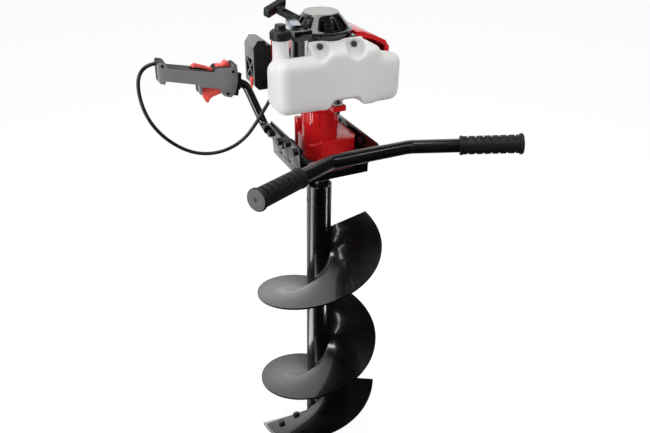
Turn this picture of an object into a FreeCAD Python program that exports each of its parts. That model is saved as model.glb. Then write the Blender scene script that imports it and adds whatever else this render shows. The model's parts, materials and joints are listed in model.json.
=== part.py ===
import FreeCAD, Part
import math
import os
import re
import Sketcher

# Motor ice auger.  +Z is up, millimetres.  The origin is the tip of the pilot point on the drill axis,
# +X is the operator's right, +Y points away from the front handlebar.  "top" is the rim of the auger tube.

Vector = FreeCAD.Vector
doc = FreeCAD.newDocument("ice_auger")
sheet = doc.addObject("Spreadsheet::Sheet", "Sizes")

SIZES = {
    # drill bit
    "edge": 80, "top": 670, "flight_od": 250, "flight_pitch": 235, "flight_thick": 4,
    "main_sweep": 734.7, "short_sweep": 149.7, "blade_thick": 4, "blade_sweep": 26,
    "tube_od": 47.5, "tube_wall": 3, "pilot_width": 52,
    # shafts, fits and fasteners
    "shaft_d": 20, "pin_d": 10, "fit": 0.05, "gap": 0.4, "bolt_d": 8, "screw_d": 5,
    "bearing_od": 32, "crank_d": 15,
    # gear train
    "gear_module": 0.85, "wheel_teeth": 56, "pinion_teeth": 10, "train_angle": 40, "wheel_width": 10,
    # gearbox and clutch housings
    "case_r": 29, "case_wall": 3.4, "case_top": 100, "neck_r": 32, "drum_r": 26.5,
    # engine
    "case_foot": 165, "crank_z": 203, "stroke": 34, "bore_d": 44, "rod_length": 62,
    "crankcase_r": 38, "web_r": 28, "cylinder_end": 112, "fan_r": 50, "fan_foot": 233, "fan_top": 283,
    "recoil_top": 314, "recoil_top_r": 29.5, "rim_r": 52, "shell_wall": 2.6, "pulley_r": 24, "rope_d": 3.5,
    # tank
    "tank_left": -119, "tank_right": 95, "tank_front": -112, "tank_back": -46, "tank_foot": 186,
    "tank_head": 282, "loaf_head": 273, "tank_low_head": 270, "tank_shoulder": 264, "tank_mid": 56, "loaf_depth": 36,
    "tank_wall": 2.5, "tank_round": 17, "notch_left": -38, "notch_right": 30, "notch_high": 17,
    "notch_deep": 39, "tab_x": -7, "tab_y": -81,
    "neck_x": -98, "neck_y": -66, "filler_r": 13,
    # tray
    "wall_x": 66, "wall_thick": 3, "floor_z": 54, "floor_thick": 4, "wall_top": 107.7,
    "foot_x": 45.5, "foot_y": 50, "spare_hole_d": 6, "spare_hole_z": 66, "spare_hole_gap": 39,
    # handlebar
    "bar_d": 22, "bar_wall": 2, "bar_y": -185, "bar_z": 138, "bar_half": 69, "bar_bend": 26,
    "grip_x": 218, "grip_y": -272, "grip_z": 152, "grip_d": 30, "grip_length": 97, "grip_flange": 1.6,
    # throttle side
    "arm_d": 16, "arm_y": 118, "handle_half": 15, "cable_d": 6.5,
}
for row, (name, value) in enumerate(SIZES.items(), start=1):
    sheet.set("A%d" % row, name)
    sheet.set("B%d" % row, str(value))
    sheet.setAlias("B%d" % row, name)
doc.recompute()

NODES = []


# ---------------------------------------------------------------- helpers
def sized(text):
    """Give every size name in an expression its spreadsheet prefix."""
    text = str(text)
    return re.sub(r"[a-z][a-z_]*", lambda word: "Sizes." + word.group() if word.group() in SIZES else word.group(), text)


def number(text):
    """Work an expression out to a plain number."""
    return float(sheet.evalExpression(sized(text)))


def bind(item, prop, text):
    item.setExpression(prop, sized(text))


def node(item, label=None):
    """Mark an object as a finished sub-part."""
    if label:
        item.Label = label
    NODES.append(item)
    return item


def place(item, x, y, z):
    bind(item, "Placement.Base.x", x)
    bind(item, "Placement.Base.y", y)
    bind(item, "Placement.Base.z", z)


TURNS = {
    "Z": FreeCAD.Rotation(),
    "X": FreeCAD.Rotation(Vector(0, 1, 0), 90),
    "Y": FreeCAD.Rotation(Vector(1, 0, 0), -90),
}


def rod(name, radius, length, x, y, z, axis="Z"):
    """Round bar from its start point along an axis."""
    item = doc.addObject("Part::Cylinder", name)
    item.Placement = FreeCAD.Placement(Vector(), TURNS[axis])
    bind(item, "Radius", radius)
    bind(item, "Height", length)
    place(item, x, y, z)
    return item


def block(name, low, high):
    """Box between two corners given as expressions."""
    item = doc.addObject("Part::Box", name)
    for prop, start, end in zip(("Length", "Width", "Height"), low, high):
        bind(item, prop, "(%s) - (%s)" % (end, start))
    place(item, *low)
    return item


def hexagon(name, across, length, x, y, z, axis="Z"):
    item = doc.addObject("Part::Prism", name)
    item.Polygon = 6
    item.Placement = FreeCAD.Placement(Vector(), TURNS[axis])
    bind(item, "Circumradius", "(%s) / 1.732" % across)
    bind(item, "Height", length)
    place(item, x, y, z)
    return item


def fuse(name, parts):
    item = doc.addObject("Part::MultiFuse", name)
    item.Shapes = parts
    return item


def cut(name, base, tools):
    item = doc.addObject("Part::Cut", name)
    item.Base = base
    item.Tool = tools[0] if len(tools) == 1 else fuse(name + "_tools", tools)
    return item


def group(name, parts):
    item = doc.addObject("Part::Compound", name)
    item.Links = parts
    return item


def origin_plane(body, role):
    return [feature for feature in body.Origin.OriginFeatures if feature.Role == role][0]


def outline_sketch(body, plane, outline, holes=(), lift="0"):
    """Closed outline whose every corner is tied to an expression, with round holes."""
    sketch = body.newObject("Sketcher::SketchObject", body.Name + "_sketch")
    sketch.AttachmentSupport = [(origin_plane(body, plane + "_Plane"), "")]
    sketch.MapMode = "FlatFace"
    bind(sketch, "AttachmentOffset.Base.z", lift)
    corners = [(number(x), number(y)) for x, y in outline]
    count = len(corners)
    for index, corner in enumerate(corners):
        after = corners[(index + 1) % count]
        sketch.addGeometry(Part.LineSegment(Vector(*corner, 0), Vector(*after, 0)), False)
    rules = [Sketcher.Constraint("Coincident", index, 2, (index + 1) % count, 1) for index in range(count)]
    sketch.addConstraint(rules)
    for index, (x, y) in enumerate(outline):
        for kind, text, now in (("DistanceX", x, corners[index][0]), ("DistanceY", y, corners[index][1])):
            rule = sketch.addConstraint(Sketcher.Constraint(kind, -1, 1, index, 1, now))
            bind(sketch, "Constraints[%d]" % rule, text)
    for x, y, radius in holes:
        circle = Part.Circle(Vector(number(x), number(y), 0), Vector(0, 0, 1), number(radius))
        hole = sketch.addGeometry(circle, False)
        for kind, text in (("DistanceX", x), ("DistanceY", y)):
            rule = sketch.addConstraint(Sketcher.Constraint(kind, -1, 1, hole, 3, number(text)))
            bind(sketch, "Constraints[%d]" % rule, text)
        rule = sketch.addConstraint(Sketcher.Constraint("Radius", hole, number(radius)))
        bind(sketch, "Constraints[%d]" % rule, radius)
    return sketch


def plate(name, outline, start, thick, plane="XY", holes=()):
    """Padded outline.  XY pads up from z=start, YZ pads to +X from x=start, XZ pads to +Y from y=start."""
    body = doc.addObject("PartDesign::Body", name)
    lift = "-((%s) + (%s))" % (start, thick) if plane == "XZ" else start
    sketch = outline_sketch(body, plane, outline, holes, lift)
    pad = body.newObject("PartDesign::Pad", name + "_pad")
    pad.Profile = sketch
    bind(pad, "Length", thick)
    sketch.Visibility = False
    return body


def turned(name, profile, x="0", y="0", z="0", axis="Z"):
    """Full turn of a radius-height profile."""
    body = doc.addObject("PartDesign::Body", name)
    sketch = outline_sketch(body, "XZ", profile)
    spin = body.newObject("PartDesign::Revolution", name + "_turn")
    spin.Profile = sketch
    spin.ReferenceAxis = (sketch, ["V_Axis"])
    spin.Angle = 360
    body.Placement = FreeCAD.Placement(Vector(), TURNS[axis])
    place(body, x, y, z)
    return body


def ring(name, inner, outer, low, high, x="0", y="0"):
    return turned(name, [(inner, low), (outer, low), (outer, high), (inner, high)], x, y)


def solid_feature(name, shape, spot=None):
    item = doc.addObject("Part::Feature", name)
    item.Shape = shape
    if spot is not None:
        item.Placement = spot
    return item


def rounded_path(points, radius_for):
    """Straight runs joined by tangent arcs."""
    edges = []
    radii = []
    start = points[0]
    for before, corner, after in zip(points, points[1:], points[2:]):
        back = (before - corner).normalize()
        ahead = (after - corner).normalize()
        half_turn = (math.pi - back.getAngle(ahead)) / 2
        radius = radius_for(before, corner, after, half_turn)
        radii.append(radius)
        reach = radius * math.tan(half_turn)
        middle = (back + ahead).normalize() * (radius / math.cos(half_turn) - radius)
        first = corner + back * reach
        last = corner + ahead * reach
        edges.append(Part.LineSegment(start, first).toShape())
        edges.append(Part.Arc(first, corner + middle, last).toShape())
        start = last
    edges.append(Part.LineSegment(start, points[-1]).toShape())
    return Part.Wire(edges), radii


def tube_along(points, radius, radius_for):
    """Solid round bar swept along a rounded path."""
    path, radii = rounded_path(points, radius_for)
    heading = points[1] - points[0]
    mouth = Part.Wire(Part.makeCircle(radius, points[0], heading))
    bar = path.makePipeShell([mouth], True, False)
    return bar, path.Length, radii


def vertex(x, y, z):
    return Vector(number(x), number(y), number(z))


def along_blade(item, angle, radius, lift):
    """Stand an object on the flight's upper face, square to it, a set angle behind the leading edge."""
    behind = math.radians(11)
    turn = math.radians(angle) + behind
    pitch = number("flight_pitch")
    climb = math.degrees(math.atan2(pitch, 2 * math.pi * radius))
    level = number("edge + flight_thick") + pitch * behind / (2 * math.pi)
    spin = FreeCAD.Rotation(Vector(0, 0, 1), math.degrees(turn)).multiply(FreeCAD.Rotation(Vector(1, 0, 0), climb))
    spot = Vector(radius * math.cos(turn), radius * math.sin(turn), level)
    item.setExpression("Placement.Base.x", None)
    item.setExpression("Placement.Base.y", None)
    item.setExpression("Placement.Base.z", None)
    item.Placement = FreeCAD.Placement(spot + spin.multVec(Vector(0, 0, lift)), spin)
    return item


# ---------------------------------------------------------------- drill bit
def make_bit():
    pin_z = "top - 30"
    pin_hole = rod("pin_hole", "pin_d / 2 + fit", "tube_od + 4", "-tube_od / 2 - 2", "0", pin_z, "X")
    bore = "tube_od / 2 - tube_wall"
    node(cut("auger_tube", ring("tube_blank", bore, "tube_od / 2", "edge - 6", "top"), [pin_hole]))
    socket = ring("socket_blank", "shaft_d / 2 + fit", bore, "top - 62", "top - 10")
    node(cut("drive_socket", socket, [pin_hole]))
    shaft = turned("shaft_blank", [("0", "top - 56"), ("shaft_d / 2", "top - 56"),
                                   ("shaft_d / 2", "top + 80"), ("0", "top + 80")])
    node(cut("output_shaft", shaft, [pin_hole]))

    node(rod("coupling_pin", "pin_d / 2", "tube_od - 2", "-tube_od / 2 + 1", "0", pin_z, "X"))

    def helix(name, sweep, start_angle, inner, outer, low, thick):
        body = doc.addObject("PartDesign::Body", name)
        sketch = outline_sketch(body, "XZ", [(inner, low), (outer, low), (outer, "(%s) + %s" % (low, thick)),
                                             (inner, "(%s) + %s" % (low, thick))])
        coil = body.newObject("PartDesign::AdditiveHelix", name + "_coil")
        coil.Profile = sketch
        coil.ReferenceAxis = (sketch, ["V_Axis"])
        coil.Mode = "pitch-turns-angle"
        bind(coil, "Pitch", "flight_pitch")
        bind(coil, "Turns", "(%s) / 360" % sweep)
        coil.LeftHanded = False
        coil.Reversed = False
        body.Placement = FreeCAD.Placement(Vector(), FreeCAD.Rotation(Vector(0, 0, 1), start_angle))
        return body

    rim = "flight_od / 2"
    spots = [(angle, radius) for angle in (0, 180) for radius in (58, 98)]
    coils = [helix("main_coil", "main_sweep", 0, "tube_od / 2", rim, "edge", "flight_thick"),
             helix("short_coil", "short_sweep", 180, "tube_od / 2", rim, "edge", "flight_thick")]
    for name, coil, side in (("auger_flight", coils[0], 0), ("second_flight", coils[1], 180)):
        holes = [along_blade(rod("%s_hole_%d" % (name, radius), "bolt_d / 2 + 0.2", "20", "0", "0", "0"),
                             angle, radius, -14) for angle, radius in spots if angle == side]
        node(cut(name, coil, holes))
    blade_low = "edge - blade_thick - flight_pitch * 6 / 360"
    blades = []
    for side in (0, 180):
        strip = helix("blade_strip_%d" % side, "blade_sweep", side - 6, "tube_od / 2 + 14", "%s + 4" % rim,
                      blade_low, "blade_thick")
        holes = [along_blade(rod("blade_%d_hole_%d" % (side, radius), "bolt_d / 2 + 0.2", "20", "0", "0", "0"),
                             angle, radius, -14) for angle, radius in spots if angle == side]
        blades.append(cut("blade_%d" % side, strip, holes))
    node(group("cutting_blades", blades))

    bolts = []
    for angle, radius in spots:
        name = "%d_%d" % (angle, radius)
        head = hexagon("blade_head_" + name, "13", "5.3", "0", "0", "0")
        shank = rod("blade_shank_" + name, "bolt_d / 2", "11", "0", "0", "-10")
        bolts.append(along_blade(fuse("blade_bolt_" + name, [head, shank]), angle, radius, 0.6))
    node(group("blade_bolts", bolts))

    stub = turned("pilot_stub", [("0", "edge - 34"), ("9", "edge - 34"), ("tube_od / 2 - tube_wall", "edge - 6"),
                                 ("tube_od / 2 - tube_wall", "edge + 20"), ("0", "edge + 20")])
    tail = plate("pilot_tail", [("0", "0"), ("pilot_width / 2", "30"), ("pilot_width / 2", "38"),
                                ("10", "edge - 10"), ("-10", "edge - 10"), ("-pilot_width / 2", "38"),
                                ("-pilot_width / 2", "30")], "-3", "6", "XZ")
    node(fuse("pilot_point", [stub, tail]))


# ---------------------------------------------------------------- gears
PRESSURE = math.radians(25)


def gear_face(teeth, module, addendum, backlash, tooth_angle):
    """Involute spur gear face with one tooth centred on tooth_angle (degrees)."""
    pitch_r = teeth * module / 2
    base_r = pitch_r * math.cos(PRESSURE)
    root_r = pitch_r - 1.25 * module
    tip_r = pitch_r + addendum
    involute = math.tan(PRESSURE) - PRESSURE
    half = math.pi / (2 * teeth) - backlash / (2 * pitch_r) + involute
    low_r = max(base_r, root_r)
    flank = []
    for step in range(5):
        radius = low_r + (tip_r - low_r) * step / 4
        slope = math.acos(min(1.0, base_r / radius))
        flank.append((radius, half - (math.tan(slope) - slope)))
    points = []
    for tooth in range(teeth):
        centre = math.radians(tooth_angle) + 2 * math.pi * tooth / teeth
        side = [(root_r, half)] + flank if root_r < base_r else flank
        for radius, spread in side:
            points.append((radius, centre - spread))
        for radius, spread in reversed(side):
            points.append((radius, centre + spread))
    corners = [Vector(radius * math.cos(a), radius * math.sin(a), 0) for radius, a in points]
    return Part.Face(Part.makePolygon(corners + corners[:1]))


def gear_solid(teeth, addendum, tooth_angle, low, high, centre, bore=0.0):
    module = number("gear_module")
    face = gear_face(teeth, module, addendum * module, 0.16 * module, tooth_angle)
    wheel = face.extrude(Vector(0, 0, high - low))
    if bore:
        wheel = wheel.cut(Part.makeCylinder(bore, high - low))
    wheel.translate(Vector(centre.x, centre.y, low))
    return wheel


def train_values():
    distance = number("gear_module * (wheel_teeth + pinion_teeth) / 2")
    angle = number("train_angle")
    turn = math.radians(angle)
    return distance, angle, Vector(distance * math.cos(turn), distance * math.sin(turn), 0)


def make_gears():
    wheel_teeth = int(number("wheel_teeth"))
    pinion_teeth = int(number("pinion_teeth"))
    distance, angle, centre = train_values()
    top = number("top")
    width = number("wheel_width")
    low = top + 66
    high = top + 82
    axis = Vector(0, 0, 0)
    wheel = gear_solid(wheel_teeth, 0.7, angle + 180 / wheel_teeth, low, low + width, axis, number("shaft_d / 2"))
    node(solid_feature("output_gear", wheel))
    wheel = gear_solid(wheel_teeth, 0.7, angle + 180 + 180 / wheel_teeth, high, high + width, centre, 5.0)
    node(solid_feature("counter_gear", wheel))
    pinion = gear_solid(pinion_teeth, 1.0, angle + 180, low - 0.5, low + width + 0.5, centre)
    lower = Part.makeCylinder(5, low - 0.5 - (top + 55.5), Vector(centre.x, centre.y, top + 55.5))
    upper = Part.makeCylinder(5, top + 99.5 - (low + width + 0.5), Vector(centre.x, centre.y, low + width + 0.5))
    node(solid_feature("countershaft", pinion.fuse([lower, upper]).removeSplitter()))
    pinion = gear_solid(pinion_teeth, 1.0, angle, high - 0.5, high + width + 1, axis)
    stem = Part.makeCylinder(5.97, 18.0, Vector(0, 0, high + width + 1))
    cup = Part.makeCylinder(number("drum_r"), 23, Vector(0, 0, top + 111))
    hollow = Part.makeCylinder(number("drum_r - 2.5"), 23, Vector(0, 0, top + 114))
    drum = pinion.fuse([stem, cup.cut(hollow)]).removeSplitter()
    node(solid_feature("clutch_drum", drum))


# ---------------------------------------------------------------- gearbox
def counter_spot():
    distance = "gear_module * (wheel_teeth + pinion_teeth) / 2"
    return "%s * cos(train_angle * 1deg)" % distance, "%s * sin(train_angle * 1deg)" % distance


def make_gearbox():
    cx, cy = counter_spot()
    wheel_r = "gear_module * (wheel_teeth + 1.4) / 2"
    right = "wall_x - wall_thick - 5.4"
    corner = [("-14", "-38"), ("-6", "-40"), ("49", "-40"), (right, "-28"), (right, "36"), ("46", "48"), ("6", "48"),
              ("-14", "38"), ("-31", "26"), ("-32", "-12"), ("-27", "-24")]
    shell = plate("case_wedge", corner, "top + 62", "case_top - 62")
    rim = plate("case_rim", [(x + " * 1.03", y + " * 1.03") if x != right else (x + " + 0.1", y) for x, y in corner],
                "top + 62", "7", "XY")
    round_case = rod("case_round", "case_r", "case_top - 62", "0", "0", "top + 62")
    lugs = [rod("case_lug_0", "7", "122 - 62", "-25", "38", "top + 62"),
            rod("case_lug_1", "6", "case_top - 60", "48", "44", "top + 62")]
    web = block("lug_web", ("-27", "16", "top + 62"), ("-2", "42", "top + case_top"))
    blank = fuse("case_blank", [shell, rim, round_case, web] + lugs)
    hollow_z = "top + 62"
    hollow_high = "case_top - 62 - 4"
    step = plate("case_step", [("-50", "top + case_top - 10"), ("-27", "top + case_top - 10"),
                               ("-11", "top + case_top + 0.1"), ("-11", "top + case_top + 30"),
                               ("-50", "top + case_top + 30")], "-60", "60", "XZ")
    step_clear = rod("case_step_clear", "neck_r", "60", "0", "0", "top + 60")
    tools = [cut("case_step_tool", step, [step_clear]),
             rod("case_hollow_a", "%s + 1" % wheel_r, hollow_high, "0", "0", hollow_z),
             rod("case_hollow_b", "%s + 1" % wheel_r, hollow_high, cx, cy, hollow_z),
             rod("case_drum_hole", "8", "10", "0", "0", "top + case_top - 6"),
             rod("case_bush_hole", "8", "10", cx, cy, "top + case_top - 6")]
    node(cut("gearbox_housing", blank, tools))

    base_low = "top + floor_z"
    inner = [("-13", "-36"), ("-6", "-38"), ("48", "-38"), ("%s - 2" % right, "-27"), ("%s - 2" % right, "35"),
             ("45", "46"), ("7", "46"), ("-13", "36"), ("-29", "24"), ("-30", "-11"), ("-26", "-22")]
    slab = plate("base_slab", inner, base_low, "8")
    disc = rod("base_disc", "case_r - 2", "8", "0", "0", base_low)
    boss = rod("base_boss", "22", "floor_z - 14 + 2", "0", "0", "top + 14")
    pocket = [rod("base_pocket", "bearing_od / 2", "floor_z - 18 + 10", "0", "0", "top + 18"),
              rod("base_lip", "11", "10", "0", "0", "top + 12"),
              rod("base_bush_pocket", "8", "10", cx, cy, "top + 55")]
    node(cut("gearbox_base", fuse("base_blank", [slab, disc, boss]), pocket))

    inner_r = "shaft_d / 2 + 0.03"
    outer_r = "bearing_od / 2"
    rings = [ring("output_bearing_low", inner_r, outer_r, "top + 20", "top + 31"),
             ring("output_bearing_high", inner_r, outer_r, "top + 50", "top + 61"),
             ring("input_bearing", "6.03", "13", "top + case_top", "top + case_top + 7"),
             ring("counter_bush_low", "5.05", "8", "top + 55", "top + 61.5", cx, cy),
             ring("counter_bush_high", "5.05", "8", "top + case_top - 4", "top + case_top", cx, cy)]
    node(group("gearbox_bearings", rings))

    foot = "top + case_top"
    neck = turned("neck_shell", [("13", foot), ("neck_r", foot), ("neck_r", "top + case_foot - 14"),
                                 ("40", "top + case_foot - 7"), ("40", "top + case_foot"),
                                 ("28", "top + case_foot"), ("28", "%s + 9" % foot), ("8", "%s + 9" % foot),
                                 ("8", "%s + 7" % foot), ("13", "%s + 7" % foot)])
    arm_top = "top + tank_foot - 3.5"
    arm = block("neck_arm", ("tab_x - 10", "tab_y - 6", "%s - 9" % arm_top), ("tab_x + 13", "-34", arm_top))
    arm_root = plate("neck_arm_root", [("-70", "%s - 8" % arm_top), ("-30", "%s - 28" % arm_top), ("-30", arm_top),
                                       ("-70", arm_top)], "tab_x - 6", "14", "YZ")
    core = rod("neck_core", "crankcase_r + 0.4", "40", "0", "0", "top + case_foot")
    inside = rod("neck_inside", "28", "20", "0", "0", "top + case_foot - 19.9")
    screw_hole = rod("arm_screw_hole", "screw_d / 2 + fit", "14", "tab_x", "tab_y", "%s - 11" % arm_top)
    flutes = []
    for index in range(14):
        flute = block("flute_%d" % index, ("0", "-2", "top + 122"), ("neck_r + 1.4", "2", "top + case_foot - 14"))
        flute.setExpression("Placement.Base.x", None)
        flute.setExpression("Placement.Base.y", None)
        turn = FreeCAD.Rotation(Vector(0, 0, 1), 360 / 14 * index + 8)
        flute.Placement = FreeCAD.Placement(turn.multVec(Vector(0, -2, 0)), turn)
        bind(flute, "Placement.Base.z", "top + 122")
        flutes.append(flute)
    ribs = cut("flutes_cut", fuse("flute_set", flutes), [rod("flute_core", "neck_r - 1", "60", "0", "0", "top + 110")])
    node(fuse("clutch_housing", [neck, ribs, cut("neck_arm_cut", fuse("neck_arm_blank", [arm, arm_root]),
                                           [core, inside, screw_hole])]))


def make_clutch():
    low = "top + 117"
    high = "top + 131"
    node(ring("clutch_hub", "crank_d / 2", "10", low, high))
    blank = ring("shoe_blank", "10.4", "drum_r - 3.1", "top + 118", "top + 130")
    slot = block("shoe_slot", ("-30", "-2", "top + 117"), ("30", "2", "top + 131"))
    node(cut("clutch_shoes", blank, [slot]))


# ---------------------------------------------------------------- engine
def make_crank():
    centre = "top + crank_z"
    shaft = "crank_d / 2"
    web_in = "4.5"
    web_out = "14.5"
    node(turned("crank_lower_half", [("0", "top + 116"), (shaft, "top + 116"), (shaft, "%s - %s" % (centre, web_out)),
                                     ("web_r", "%s - %s" % (centre, web_out)),
                                     ("web_r", "%s - %s" % (centre, web_in)), ("0", "%s - %s" % (centre, web_in))]))
    node(turned("crank_upper_half", [("0", "%s + %s" % (centre, web_in)), ("web_r", "%s + %s" % (centre, web_in)),
                                     ("web_r", "%s + %s" % (centre, web_out)), (shaft, "%s + %s" % (centre, web_out)),
                                     (shaft, "top + 276"), ("5", "top + 281"), ("0", "top + 281")]))
    throw = "stroke / 2"
    wrist = "stroke / 2 + rod_length"
    big = rod("rod_big_end", "10", "7.6", "0", throw, "%s - 3.8" % centre)
    small = rod("rod_small_end", "8", "7.6", "0", wrist, "%s - 3.8" % centre)
    shank = block("rod_shank", ("-4", throw, "%s - 3" % centre), ("4", wrist, "%s + 3" % centre))
    holes = [rod("rod_big_hole", "6 + fit", "10", "0", throw, "%s - 5" % centre),
             rod("rod_small_hole", "4.5 + fit", "10", "0", wrist, "%s - 5" % centre)]
    node(cut("connecting_rod", fuse("rod_blank", [big, small, shank]), holes))
    pins = [rod("crankpin", "6", "8.4", "0", throw, "%s - 4.2" % centre),
            rod("wrist_pin", "4.5", "38", "0", wrist, "%s - 19" % centre)]
    node(group("rod_pins", pins))

    skirt = "stroke / 2 + rod_length - 10"
    crown = "stroke / 2 + rod_length + 15"
    barrel = rod("piston_barrel", "bore_d / 2 - fit", "25", "0", skirt, centre, "Y")
    hollow = rod("piston_hollow", "bore_d / 2 - 4", "20", "0", "%s - 0.1" % skirt, centre, "Y")
    hole = rod("piston_pin_hole", "4.5 + fit", "60", "0", wrist, "%s - 30" % centre)
    node(cut("piston", barrel, [hollow, hole]))

    bearing_r = "17"
    bearing_bore = "crank_d / 2 + 0.03"
    node(group("crank_bearings", [ring("crank_bearing_low", bearing_bore, bearing_r, "top + 174", "top + 186"),
                                  ring("crank_bearing_high", bearing_bore, bearing_r, "top + 220", "top + 231")]))

    case = turned("crankcase_blank", [("9", "top + case_foot"), ("crankcase_r", "top + case_foot"),
                                      ("crankcase_r", "top + fan_foot"), ("9", "top + fan_foot"),
                                      ("9", "top + 231"), (bearing_r, "top + 231"), (bearing_r, "%s + 15.5" % centre),
                                      ("web_r + 2", "%s + 15.5" % centre), ("web_r + 2", "%s - 15.5" % centre),
                                      (bearing_r, "%s - 15.5" % centre), (bearing_r, "top + 174"), ("9", "top + 174")])
    mouth = rod("crankcase_mouth", "bore_d / 2 + 5", "30", "0", "32", centre, "Y")
    throat = rod("crankcase_throat", "bore_d / 2 + 0.3", "34", "0", "0", centre, "Y")
    node(cut("crankcase", case, [mouth, throat]))

    sleeve = rod("cylinder_sleeve", "bore_d / 2 + 5", "cylinder_end - 32", "0", "32", centre, "Y")
    fins = [block("fin_%d" % i, ("-36", "%d" % (46 + 9 * i), "%s - 34" % centre),
                  ("36", "%d" % (46 + 9 * i) + " + 2.6", "top + fan_foot - 0.5")) for i in range(8)]
    intake = block("intake_block", ("-48", "40", "%s - 11" % centre), ("-20", "56", "%s + 13" % centre))
    exhaust = block("exhaust_block", ("20", "40", "%s - 11" % centre), ("58", "60", "%s + 11" % centre))
    bore = [rod("cylinder_bore", "bore_d / 2", "cylinder_end - 43", "0", "31", centre, "Y"),
            rod("crankcase_clear", "crankcase_r", "80", "0", "0", "top + case_foot - 5"),
            rod("plug_hole", "7", "30", "0", "cylinder_end - 12", centre, "Y")]
    body = fuse("cylinder_fins", fins + [intake, exhaust])
    keep = cut("cylinder_fins_cut", body, [bore[1]])
    node(cut("cylinder", fuse("cylinder_blank", [sleeve, keep]), [bore[0], bore[2]]))

    node(turned("spark_plug", [("0", "-8"), ("3", "-8"), ("7", "-4"), ("7", "0"), ("9.5", "0"), ("9.5", "9"),
                               ("6", "11"), ("6", "26"), ("8", "28"), ("8", "36"), ("0", "38")],
                "0", "cylinder_end", centre, "Y"))


def make_flywheel():
    rim = "fan_r - 14"
    wheel = turned("flywheel_disc", [("crank_d / 2", "top + 240"), (rim, "top + 240"), (rim, "top + 260"),
                                     ("14", "top + 260"), ("14", "top + 266"), ("crank_d / 2", "top + 266")])
    vanes = []
    for i in range(8):
        vane = block("vane_%d" % i, ("0", "0", "0"), ("18", "2.4", "9"))
        turn = FreeCAD.Rotation(Vector(0, 0, 1), 45 * i)
        spot = turn.multVec(Vector(16, -1.2, 0))
        vane.setExpression("Placement.Base.x", None)
        vane.setExpression("Placement.Base.y", None)
        vane.Placement = FreeCAD.Placement(spot, turn)
        bind(vane, "Placement.Base.z", "top + 259.5")
        vanes.append(vane)
    node(fuse("flywheel", [wheel] + vanes))
    node(block("ignition_coil", ("fan_r - 13.2", "-11", "top + 242"), ("fan_r - 4", "11", "top + 258")))


def rope_line():
    """Start point and unit heading of the starter rope, tangent to the pulley groove."""
    level = number("top + 292")
    groove = number("pulley_r - 3")
    heading = Vector(-0.52, 0.854, 0.278).normalize()
    flat = Vector(heading.x, heading.y, 0).normalize()
    tangent = Vector(-flat.y * groove, flat.x * groove, level)
    return tangent, heading


ROPE_GUIDE_END = 70.0


def frame_along(heading, spot, side):
    """Placement whose Z follows heading and whose X follows side."""
    across = (side - heading * side.dot(heading)).normalize()
    turn = FreeCAD.Rotation(across, heading.cross(across), heading, "ZXY")
    return FreeCAD.Placement(spot, turn)


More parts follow.
